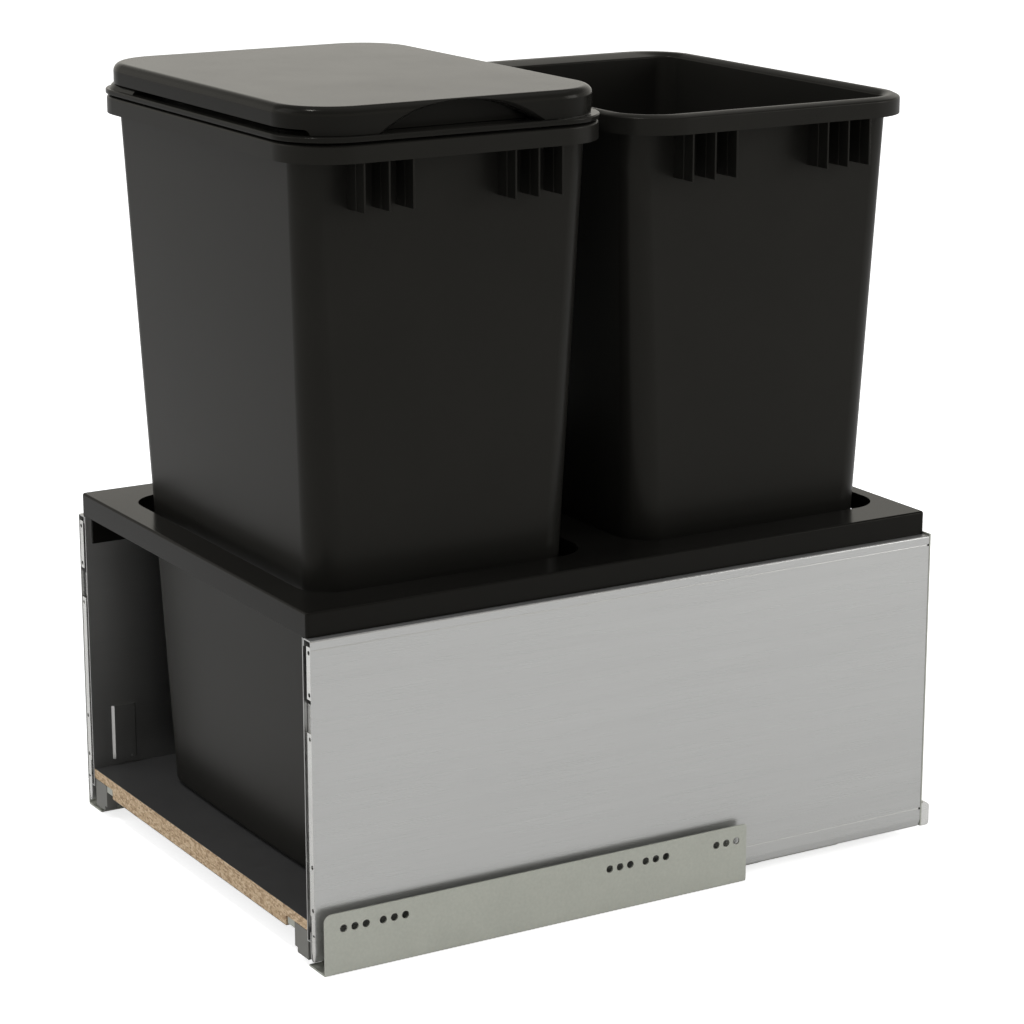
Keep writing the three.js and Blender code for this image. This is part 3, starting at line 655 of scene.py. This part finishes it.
def round_bend(obj, x, z, radius, segments):
    """Rounds one bend of a sheet that runs along Y."""
    pick(obj, lambda co, ring: abs(co.x - x) < NEAR and abs(co.z - z) < NEAR)
    bpy.ops.mesh.bevel(offset=radius, segments=segments, affect="EDGES")


def facing(obj, sideways):
    """Makes a sheet's faces agree, with the largest ones looking along the given X direction."""
    pick_all()
    bpy.ops.mesh.normals_make_consistent(inside=False)
    mesh = bmesh.from_edit_mesh(obj.data)
    wall = max((f for f in mesh.faces if abs(f.normal.x) > 0.99), key=lambda f: f.calc_area())
    if wall.normal.x * sideways < 0:
        bpy.ops.mesh.flip_normals()
    start_clean()


def thicken(obj, thickness):
    """Gives a sheet its thickness, behind its faces."""
    apply(obj, "SOLIDIFY", thickness=thickness, offset=-1, use_even_offset=True)


def soften(obj, width, segments=2, angle=45):
    """Breaks the sharp edges and settles the shading over the flats."""
    apply(obj, "BEVEL", width=width, segments=segments, limit_method="ANGLE",
          angle_limit=math.radians(angle), miter_outer="MITER_ARC", use_clamp_overlap=True)


def hand_over(obj, node, body, slot, angle=35):
    """Shades a finished piece in its slot's finish and lets it stand in for its node."""
    take(obj)
    bpy.ops.object.shade_smooth_by_angle(angle=math.radians(angle))
    apply(obj, "WEIGHTED_NORMAL", keep_sharp=True, weight=60)
    obj.data.materials.clear()
    obj.data.materials.append(FINISHES[slot])
    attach(obj, body)
    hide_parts(node)


def hand_over_pair(right, left_name, node, body, slot, angle=35):
    """Hands over a right-hand piece and its mirror image."""
    left = copied(right, left_name, mirror=True)
    hand_over(right, f"{node}_right", body, slot, angle)
    hand_over(left, f"{node}_left", body, slot, angle)


# -------- operators


class WASTE_OT_finishes(bpy.types.Operator):
    """Makes every finish and gives one to each piece of the frame"""

    bl_idname = "waste.finishes"
    bl_label = "Make the Finishes"

    def execute(self, context):
        c = context.scene.waste_colours
        FINISHES.update({
            "galvanised": galvanised_steel("galvanised_steel", c.galvanised, 0.46),
            "side_steel": brushed_steel("brushed_side_steel", c.side_steel, 0.3, metallic=0.78),
            # painted shade: the inner skins take the side steel made darker, a shaded copy of the
            # outer skins' steel
            "inner_steel": brushed_steel(
                "shaded_inner_side_steel", shade(c.side_steel, 0.97), 0.36, depth=0.07),
            "zinc": bright_zinc("zinc_plate", c.zinc, 0.27),
            "screw_steel": bright_zinc("screw_zinc", shade(c.zinc, 0.95), 0.27),
            "grey_plastic": moulded_plastic("grey_cap_plastic", c.grey_plastic, 0.45, ior=1.45),
            "cage_plastic": moulded_plastic("cage_plastic", (0.02, 0.02, 0.02), 0.5, ior=1.34),
            "board": faced_chipboard(
                "faced_chipboard", c.laminate, "z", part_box("bottom_board"), 0.42),
            "back": faced_chipboard(
                "faced_back_panel", c.laminate, "y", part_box("back_panel"), 0.42),
            "tray_plastic": moulded_plastic("tray_plastic", c.tray_plastic, 0.2, ior=1.175),
            "bin_plastic": moulded_plastic("bin_plastic", c.bin_plastic, 0.3, ior=1.205),
            "lid_plastic": moulded_plastic("lid_plastic", c.bin_plastic, 0.18, ior=1.165),
        })
        for entry in frame["record"]["subparts"]:
            node = frame["nodes"][entry["node"]]
            slot = OWN_FINISH.get(entry["node"], entry["material_slot"])
            node.data.materials.clear()
            node.data.materials.append(FINISHES[slot])
        return {"FINISHED"}


class WASTE_OT_bins(bpy.types.Operator):
    """Models one tapered bin with its rim and ribs, and copies it for the second"""

    bl_idname = "waste.bins"
    bl_label = "Model the Bins"

    def execute(self, context):
        s = context.scene.waste_bin_sizes
        rim = (s.rim_half_width, s.rim_half_depth, s.rim_radius)
        bin_front = skin_rings("bin_front_shell", (
            (*grown((s.foot_half_width, s.foot_half_depth, s.foot_radius), -s.wall),
             s.foot + s.wall, s.bow),
            (*grown((s.top_half_width, s.top_half_depth, s.top_radius), -s.wall),
             s.rim_top - s.inner_drop),
            (*self.crown(rim, s.inner_inset), s.rim_top - s.inner_fall),
            (*self.crown(rim, s.crest_inset), s.rim_top),
            (*rim, s.rim_top - s.outer_drop),
            (*rim, s.rim_top - s.band),
        ), ends=(1,), corner=12)
        turn_up(bin_front)
        foot, wall_top, outer_edge = 1, 2, 5        # the rings that are rounded
        for ring, radius, segments in ((foot, 3.6, 4), (wall_top, 1.2, 3), (outer_edge, 1.2, 4)):
            round_ring(bin_front, ring, radius * MM, segments)
        thicken(bin_front, s.wall)

        rib = self.rib(s)
        ribs = []
        for mirrored in (False, True):
            for way in (-1, 1):
                for place in (s.rib_first, s.rib_second, s.rib_third):
                    ribs.append(copied(rib, "rib", (0, way * place, 0), mirror=mirrored))
        bpy.data.objects.remove(rib)
        weld_into(bin_front, ribs)
        shift(bin_front, (0, BIN_MIDDLES["bin_front"], 0))
        gap = BIN_MIDDLES["bin_rear"] - BIN_MIDDLES["bin_front"]
        bin_rear = copied(bin_front, "bin_rear_shell", (0, gap, 0))
        hand_over(bin_front, "bin_front", "front_bin", "bin_plastic")
        hand_over(bin_rear, "bin_rear", "rear_bin", "bin_plastic")
        return {"FINISHED"}

    def crown(self, rim, inset):
        """The outline of a ring on the rim's crown, which is narrower along the long sides."""
        narrowing, tightening = 0.63, 0.8
        half_width, half_depth, radius = rim
        return half_width - inset, half_depth - narrowing * inset, radius - tightening * inset

    def rib(self, s):
        """A web that thins at a step and runs on to the band."""
        low = s.rim_top - s.band - s.rib_height
        high = s.rim_top - s.inner_drop - 1.1 * MM
        root, half = s.top_half_width - 2.4 * MM, s.rib_thick / 2
        step, end = 0.1 * MM, s.rim_half_width - 1.2 * MM - s.rib_step
        rib = box("rib", root, s.rib_step, -half, half, low, high)
        edit(rib)
        pick(rib, lambda co, ring: co.x > s.rib_step - NEAR)
        extrude((step, 0, 0))
        bpy.ops.transform.resize(value=(1, s.rib_thin / s.rib_thick, 1))
        extrude((end, 0, 0))
        apply(rib, "BEVEL", width=0.2 * MM, segments=1, limit_method="ANGLE")
        return rib


class WASTE_OT_lid(bpy.types.Operator):
    """Models the lid's flap with its finger scoop, and the ring that it closes on"""

    bl_idname = "waste.lid"
    bl_label = "Model the Lid"

    def execute(self, context):
        s = context.scene.waste_lid_sizes
        flap = self.flap(s)
        hand_over(flap, "lid_flap", "lid", "lid_plastic", angle=30)
        ring = self.ring(s, context.scene.waste_bin_sizes)
        hand_over(ring, "lid_ring", "front_bin", "lid_plastic", angle=30)
        return {"FINISHED"}

    def shell(self, name, s, inset, low, rounding):
        """A closed, round-edged block in the lid's outline, less an inset."""
        outline = grown((s.half_width, s.half_depth, s.radius), -inset)
        block = skin_rings(
            name, ((*outline, low), (*outline, s.top - inset)), ends=(1, 2), corner=16)
        round_ring(block, 2, rounding, 7)
        shift(block, (s.middle, BIN_MIDDLES["bin_front"], 0))
        return block

    def arch(self, s, grow):
        """The scoop: a level arch that flares softly where it leaves the face."""
        middle = BIN_MIDDLES["bin_front"]
        length = s.scoop_flare_from - s.scoop_from + grow
        centre = (s.scoop_flare_from - length / 2, middle, s.scoop_axis)
        radius = s.scoop_radius + grow
        arch = rod("arch", "x", radius, length, centre, sides=288)
        edit(arch)
        pick(arch, lambda co, ring: co.x > s.scoop_flare_from - NEAR)
        # Each step's run outwards, and how far the arch is flared there.
        steps = ((2.2, 0.15), (2.0, 0.6), (1.7, 1.3), (1.4, 2.3), (1.2, 3.6), (2.4, 6.2))
        for run, flare in steps:
            extrude((run * MM, 0, 0))
            wider = s.scoop_radius + grow + flare * MM
            stretch((1, wider / radius, wider / radius), (s.scoop_flare_from, middle, s.scoop_axis))
            radius = wider
        return arch

    def side_gap(self, s, middle, skirt):
        """A round-ended gap under the skirt, through the front and back but not the scoop."""
        beyond, half_height = 0.3, 5 * MM
        slot = (s.gap_end + beyond, half_height, 3.9 * MM)
        gap = skin_rings("side_gap", ((*slot, -beyond), (*slot, beyond)),
                         ends=(1, 2), corner=6, cuts=(0, 0))
        pick_all()
        turn_about_x(math.pi / 2)
        move((-beyond, 0, RING_TOP + s.side_gap - half_height))
        combine(gap, box("spare", s.scoop_from - 10 * MM, beyond, middle - 0.07, middle + 0.07,
                         skirt - 0.02, skirt + 0.02))
        return gap

    def flap(self, s):
        middle = BIN_MIDDLES["bin_front"]
        hinges = [middle + way * s.hinge_spacing / 2 for way in (-1, 1)]
        skirt = RING_TOP + 0.3 * MM
        flap = self.shell("lid_flap_shell", s, 0, skirt, s.edge_radius)
        hollow = self.shell("hollow", s, s.wall, skirt - 2 * MM, s.edge_radius - s.wall)
        combine(hollow, self.arch(s, s.wall))
        combine(flap, hollow)
        combine(flap, self.arch(s, 0))
        combine(flap, self.side_gap(s, middle, skirt))
        half_gap, gap_top = 12.7 * MM, 0.606
        for place in hinges:
            combine(flap, box("hinge_gap", s.middle - s.half_width - MM, s.hinge_x + 3.2 * MM,
                              place - half_gap, place + half_gap, skirt - MM, gap_top))
        soften(flap, 0.35 * MM)
        low, high = RING_TOP + 0.8 * MM, s.top - 1.3 * MM
        outer = (s.lip_half_width, s.lip_half_depth, s.lip_radius)
        inner = grown(outer, -s.lip_wall)
        lip = skin_rings("lip", ((*outer, low), (*outer, high), (*inner, high), (*inner, low)),
                         loop=True)
        shift(lip, (s.middle, middle, 0))
        parts = [lip]
        half_web, half_barrel = 1.4 * MM, 7.4 * MM
        for place in hinges:
            centre = (s.hinge_x, place, s.hinge_z)
            parts.append(box("web", s.hinge_x - half_web, s.hinge_x + half_web,
                             place - half_barrel, place + half_barrel, s.hinge_z + 2 * MM, high))
            barrel = rod("barrel", "y", HINGE_RADIUS, 2 * half_barrel, centre)
            combine(barrel, rod("bore", "y", HINGE_BORE, 20 * MM, centre))
            parts.append(barrel)
        return weld_into(flap, parts)

    def ring(self, s, b):
        low = b.rim_top + 0.3 * MM
        foot = low - 9 * MM
        outline = grown((b.rim_half_width, b.rim_half_depth, b.rim_radius), s.ring_overhang)
        opening = (0.144, 0.1115, 0.020)
        ring = skin_rings("lid_ring_shell", (
            (*outline, low),
            (*outline, RING_TOP),
            (*opening, RING_TOP),
            (*opening, foot),
            (*grown(opening, 3.4 * MM), foot),
            (*grown(opening, 4.4 * MM), low),
        ), loop=True, corner=14)
        outer_foot, outer_top, inner_top = 1, 2, 3  # the rings that are rounded
        for edge, radius, segments in (
                (outer_top, 1.2, 4), (outer_foot, 0.5, 2), (inner_top, 0.6, 2)):
            round_ring(ring, edge, radius * MM, segments)

        plinth_top = RING_TOP + s.side_gap - 0.6 * MM
        plinth = skin_rings("plinth", (
            (*grown(outline, -2.2 * MM), RING_TOP - 0.5 * MM),
            (*grown(outline, -5.6 * MM), plinth_top),
        ), ends=(1, 2), corner=14)
        round_ring(plinth, 2, 1.2 * MM, 3)
        corner, half = 0.122, 0.018
        ends = [box("end", -0.19, s.plinth_end, way * corner - half, way * corner + half,
                    RING_TOP - MM, plinth_top + MM) for way in (-1, 1)]
        combine(plinth, weld_into(ends[0], ends[1:]), "INTERSECT")
        weld_into(ring, [plinth, *self.knuckles(s)])
        shift(ring, (0, BIN_MIDDLES["bin_front"], 0))
        return ring

    def knuckles(self, s):
        """Two knuckles for each hinge, with the pin's bore, for a ring about the origin."""
        knuckles = []
        for place in (-s.hinge_spacing / 2, s.hinge_spacing / 2):
            for way in (-1, 1):
                y = place + way * 10 * MM
                eye = (s.hinge_x, y, s.hinge_z)
                knuckle = box("knuckle", s.hinge_x - HINGE_RADIUS, s.hinge_x + HINGE_RADIUS,
                              y - 2 * MM, y + 2 * MM, RING_TOP - MM, s.hinge_z)
                combine(knuckle, rod("eye", "y", HINGE_RADIUS, 4 * MM, eye), "UNION")
                combine(knuckle, rod("bore", "y", HINGE_BORE, 8 * MM, eye))
                knuckles.append(knuckle)
        return knuckles


class WASTE_OT_tray(bpy.types.Operator):
    """Models the tray with its two collared openings and its inner flanges"""

    bl_idname = "waste.tray"
    bl_label = "Model the Tray"

    def execute(self, context):
        s = context.scene.waste_tray_sizes
        tray = skin_rings("bin_tray_shell", (
            (s.half_width, s.half_depth, s.corner_radius, s.bottom),
            (s.half_width, s.half_depth, s.corner_radius, s.top),
        ), ends=(2,), corner=5)
        turn_up(tray)
        round_ring(tray, 2, s.edge_radius, 4)
        shift(tray, (0, FRONT + 0.5 * MM + s.half_depth, 0))
        thicken(tray, s.wall)
        openings = [FRONT + s.first_opening, FRONT + s.second_opening]
        for start in openings:
            combine(tray, self.prism(s, start, 2.2 * MM, s.top - 14 * MM, s.top - MM), "UNION")
        for start in openings:
            combine(tray, self.prism(s, start, 0, s.bottom - 0.04, s.top + 0.01))
        soften(tray, 0.5 * MM, 3, 60)
        flange = box("flange", s.flange_x - 2.2 * MM, s.flange_x,
                     FRONT + 5 * MM, FRONT + 518 * MM,
                     s.flange_bottom, s.top - s.wall + 0.5 * MM)
        weld_into(tray, [flange, copied(flange, "flange", mirror=True)])
        hand_over(tray, "bin_tray", "drawer", "tray_plastic")
        return {"FINISHED"}

    def prism(self, s, start, grow, low, high):
        """A block in the outline of an opening, let out all round."""
        half_depth = s.opening_depth / 2
        outline = grown((s.opening_half_width, half_depth, s.opening_radius), grow)
        prism = skin_rings(
            "opening", ((*outline, low), (*outline, high)), ends=(1, 2), corner=12)
        shift(prism, (0, start + half_depth, 0))
        return prism


class WASTE_OT_sides(bpy.types.Operator):
    """Models the outer skins of the drawer sides, folded from sheet with two fine creases"""

    bl_idname = "waste.sides"
    bl_label = "Model the Drawer Sides"

    def execute(self, context):
        s = context.scene.waste_side_sizes
        face, hem, turned_in = s.outer, 0.1901, 0.1934
        deep, wide = 0.32 * MM, 0.7 * MM            # of a crease
        low, high = s.bottom + s.crease_low, s.top - s.crease_high
        heel = [(face, 0.0150), (face - 1.6 * MM, 0.0094), (face - 3.4 * MM, s.bottom)]
        path = [(hem, 0.2425), (hem, s.top), (face, s.top)]
        for z in (high, low):
            path += [(face, z + wide), (face - deep, z), (face, z - wide)]
        path += [*heel, (face - 5.2 * MM, s.bottom), (0.1942, 0.0096),
                 (turned_in, 0.0150), (turned_in, 0.0300)]
        skin = bent_sheet("side_outer_right", path, FRONT, FRONT + s.depth)
        round_bend(skin, hem, s.top, 1.4 * MM, 4)
        round_bend(skin, face, s.top, 1.5 * MM, 5)
        for x, z in heel:
            round_bend(skin, x, z, 1.0 * MM, 3)
        facing(skin, 1)
        thicken(skin, s.sheet)
        for z in (high, low):
            combine(skin, box("nick", face - 3 * MM, face + MM, FRONT + s.depth - 1.6 * MM,
                              FRONT + s.depth + MM, z - 1.2 * MM, z + 0.4 * MM))
        hand_over_pair(
            skin, "side_outer_left", "side_outer_skin", "drawer", "side_steel", angle=25)
        return {"FINISHED"}


class WASTE_OT_profiles(bpy.types.Operator):
    """Models the cabinet profiles with their groups of screw holes"""

    bl_idname = "waste.profiles"
    bl_label = "Model the Cabinet Profiles"

    def execute(self, context):
        s = context.scene.waste_profile_sizes
        outer = s.outer
        front, back = FRONT + s.front, FRONT + s.front + s.length
        path = [(outer, s.height), (outer, 0), (s.floor_from, 0)]
        profile = bent_sheet("cabinet_profile_steel_right", path, front, back)
        round_bend(profile, outer, 0, 1.8 * MM, 4)
        facing(profile, 1)
        thicken(profile, s.steel)
        for y, radius in ((front, 6 * MM), (back, 2 * MM)):
            edit(profile)
            pick(profile, lambda co, ring: abs(co.y - y) < NEAR and co.z > s.height - NEAR)
            bpy.ops.mesh.bevel(offset=radius, segments=8, affect="EDGES")
        places = [FRONT + s.hole_front + group * SYSTEM_PITCH + hole * s.hole_pitch
                  for group in HOLE_GROUPS for hole in range(3)]
        drill = rod("drill", "x", s.hole_radius, 8 * MM, (outer, places[0], s.hole_height), 36)
        drills = [copied(drill, "drill", (0, y - places[0], 0)) for y in places[1:]]
        combine(profile, weld_into(drill, drills))
        soften(profile, 0.22 * MM, 2, 50)
        hand_over_pair(profile, "cabinet_profile_steel_left", "cabinet_profile",
                       "cabinet_mount", "galvanised")
        return {"FINISHED"}


class WASTE_OT_brackets(bpy.types.Operator):
    """Models the front brackets, folded from sheet with screw holes that face the door"""

    bl_idname = "waste.brackets"
    bl_label = "Model the Front Brackets"

    def execute(self, context):
        s = context.scene.waste_bracket_sizes
        plate, return_leg, wide_leg = FRONT + 0.3 * MM, FRONT + 26 * MM, FRONT + 30 * MM
        channel_wall = 0.1916
        upper = self.angle("front_bracket_channel", s, s.upper_from, s.upper_to, [
            (0.1940, plate), (s.outer, plate), (s.outer, return_leg),
            (channel_wall, return_leg), (channel_wall, FRONT + 8 * MM)])
        lower = self.angle("front_bracket_angle", s, s.lower_from, s.lower_to, [
            (0.1934, plate), (s.outer, plate), (s.outer, wide_leg)])
        combine(lower, self.leaf(s), "UNION")
        nick_low, nick_high = 0.0276, 0.0288
        combine(lower, box("nick", 0.1964, 0.201, plate - MM, plate + 3 * MM, nick_low, nick_high))
        for piece, name, heights in (
                (upper, "front_bracket_upper", (0.2082, 0.2390)),
                (lower, "front_bracket_lower", (0.0474, 0.0801, 0.1755))):
            for height in heights:
                centre = (s.hole_x, plate, height)
                combine(piece, rod("hole", "y", s.hole_radius, 6 * MM, centre, 20))
            soften(piece, 0.15 * MM, 1, 50)
            hand_over_pair(piece, piece.name + "_left", name, "drawer", "zinc")
        return {"FINISHED"}

    def leaf(self, s):
        """The tapered leaf under the lower bracket, which closes the foot of the side."""
        foot, middle = 0.0153, 0.19735
        leaf = box("leaf", 0.1948, 0.1999, FRONT + 0.3 * MM, FRONT + 1.5 * MM,
                   foot, s.lower_from + MM)
        edit(leaf)
        pick(leaf, lambda co, ring: co.z < foot + MM)
        for drop, width in ((4.8, 0.55), (1.2, 0.5)):
            extrude((0, 0, -drop * MM))
            stretch((width, 1, 1), (middle, 0, 0))
        return leaf

    def angle(self, name, s, low, high, plan):
        """Sheet folded along a plan of X and Y points, standing between two heights.

        The sheet is bent lying along Y, with the plan's Y reversed, and is then stood up.
        """
        sheet = bent_sheet(name, [(x, -y) for x, y in plan], low, high)
        pick_all()
        turn_about_x(-math.pi / 2)
        facing(sheet, 1)
        thicken(sheet, s.steel)
        return sheet


class WASTE_OT_stage(bpy.types.Operator):
    """Sets the floor, the lamps and the camera"""

    bl_idname = "waste.stage"
    bl_label = "Set the Stage"

    floor_seen: bpy.props.FloatProperty(
        name="Floor as seen", description="White added to the floor where the camera sees it",
        default=0.75, subtype="FACTOR")
    floor_reflected: bpy.props.FloatProperty(
        name="Floor as reflected", description="White added to the floor where a gloss sees it",
        default=0.10, subtype="FACTOR")

    def execute(self, context):
        start_clean()
        scene = context.scene
        scene.view_settings.view_transform = "Standard"
        self.floor()
        self.sky(scene)
        self.lamps()
        self.camera(scene)
        return {"FINISHED"}

    def floor(self):
        """Pale floor that takes the shadow, whiter where the camera or a gloss sees it."""
        bpy.ops.mesh.primitive_plane_add(size=24, location=(0, 0, -0.5 * MM))
        floor = bpy.context.object
        floor.name = "floor"
        f = Finish("pale_floor", Roughness=0.9, Specular_IOR_Level=0.05, Emission_Strength=1.0)
        clouds = f.noise(2.0, detail=2.0)
        f.feed(Base_Color=f.mix(clouds, (0.9, 0.9, 0.9), (0.92, 0.92, 0.92)))
        path = f.node("ShaderNodeLightPath")
        camera, gloss, through = (Varying(f, path.outputs[name]) for name in SEEN_RAYS)
        white = camera * self.floor_seen + (gloss + through) * self.floor_reflected
        f.feed(Emission_Color=f.mix(white, (0, 0, 0), f.mix(camera, REFLECTED_WHITE, (1, 1, 1))))
        floor.data.materials.append(f.material)

    def sky(self, scene):
        """A pale sky: white to the camera, and in a gloss a warm white that fades overhead."""
        world = scene.world or bpy.data.worlds.new("studio")
        scene.world = world
        world.use_nodes = True
        g = Graph(world.node_tree)
        background = g.nodes["Background"]
        path = g.node("ShaderNodeLightPath")
        camera, gloss, through = (path.outputs[name] for name in SEEN_RAYS)
        glossy = g.node("ShaderNodeMath", {"operation": "MAXIMUM"}, (gloss, through)).outputs[0]
        light_on_object = (0.5, 0.5, 0.5)
        colour = g.mix(camera, light_on_object, (1, 1, 1))
        g.fill(background.inputs["Color"], g.mix(glossy, colour, REFLECTED_WHITE))
        direction = g.node("ShaderNodeTexCoord").outputs["Generated"]
        height = g.node("ShaderNodeSeparateXYZ", None, {0: direction}).outputs["Z"]
        fall = g.node("ShaderNodeMapRange", {"interpolation_type": "SMOOTHSTEP"}, {
            "From Min": 0.26, "From Max": 0.55, "To Min": 1.0, "To Max": 0.25, "Value": height})
        strength = g.node("ShaderNodeMix", None, {0: glossy, 2: 1.0, 3: fall.outputs["Result"]})
        g.fill(background.inputs["Strength"], strength.outputs[0])

    def lamps(self):
        """Soft lamps, given by name, place, size and power, all aimed at the drawer."""
        for name, place, size, power in (
                ("key_lamp", (-1.6, -3.0, 2.6), 2.4, 20.0),
                ("fill_lamp", (1.7, 2.2, 1.2), 1.2, 20.0),
                ("top_lamp", (0.2, 0.4, 3.4), 3.0, 13.0),
                ("edge_lamp", (0.1, -1.5, 3.4), 0.4, 30.0)):
            bpy.ops.object.light_add(type="AREA", location=place)
            lamp = bpy.context.object
            lamp.name = name
            lamp.data.size = size
            lamp.data.energy = power
            aim = Vector((0, 0, 0.3)) - Vector(place)
            lamp.rotation_euler = aim.to_track_quat("-Z", "Y").to_euler()

    def camera(self, scene):
        """The photograph's camera."""
        azimuth, pitch, roll = (math.radians(a) for a in (59.211, 14.907, -0.032))
        bpy.ops.object.camera_add(location=(2.0753, -1.2287, 0.8998))
        camera = bpy.context.object
        aimed = Euler((math.pi / 2 - pitch, 0, azimuth)).to_matrix()
        camera.rotation_euler = (aimed @ Matrix.Rotation(roll, 3, "Z")).to_euler()
        camera.data.sensor_width = 36.0
        camera.data.lens = 111.54
        camera.data.clip_start, camera.data.clip_end = 0.05, 60
        scene.camera = camera


class WASTE_PT_panel(bpy.types.Panel):
    """Lists the steps that model the waste cabinet"""

    bl_idname = "WASTE_PT_panel"
    bl_label = "Waste Cabinet"
    bl_space_type = "VIEW_3D"
    bl_region_type = "UI"
    bl_category = "Waste Cabinet"

    def draw(self, context):
        for step in STEPS:
            self.layout.operator(step.bl_idname)


STEPS = (
    WASTE_OT_finishes,
    WASTE_OT_bins,
    WASTE_OT_lid,
    WASTE_OT_tray,
    WASTE_OT_sides,
    WASTE_OT_profiles,
    WASTE_OT_brackets,
    WASTE_OT_stage,
)
GROUPS = {
    "waste_bin_sizes": BinSizes,
    "waste_lid_sizes": LidSizes,
    "waste_tray_sizes": TraySizes,
    "waste_side_sizes": SideSizes,
    "waste_profile_sizes": ProfileSizes,
    "waste_bracket_sizes": BracketSizes,
    "waste_colours": Colours,
}


def register():
    for name, group in GROUPS.items():
        bpy.utils.register_class(group)
        setattr(bpy.types.Scene, name, bpy.props.PointerProperty(type=group))
    for step in (*STEPS, WASTE_PT_panel):
        bpy.utils.register_class(step)


def unregister():
    for step in reversed((*STEPS, WASTE_PT_panel)):
        bpy.utils.unregister_class(step)
    for name, group in reversed(GROUPS.items()):
        delattr(bpy.types.Scene, name)
        bpy.utils.unregister_class(group)


def main():
    register()
    for step in STEPS:
        area, _, name = step.bl_idname.partition(".")
        getattr(getattr(bpy.ops, area), name)()


if __name__ == "__main__":
    main()
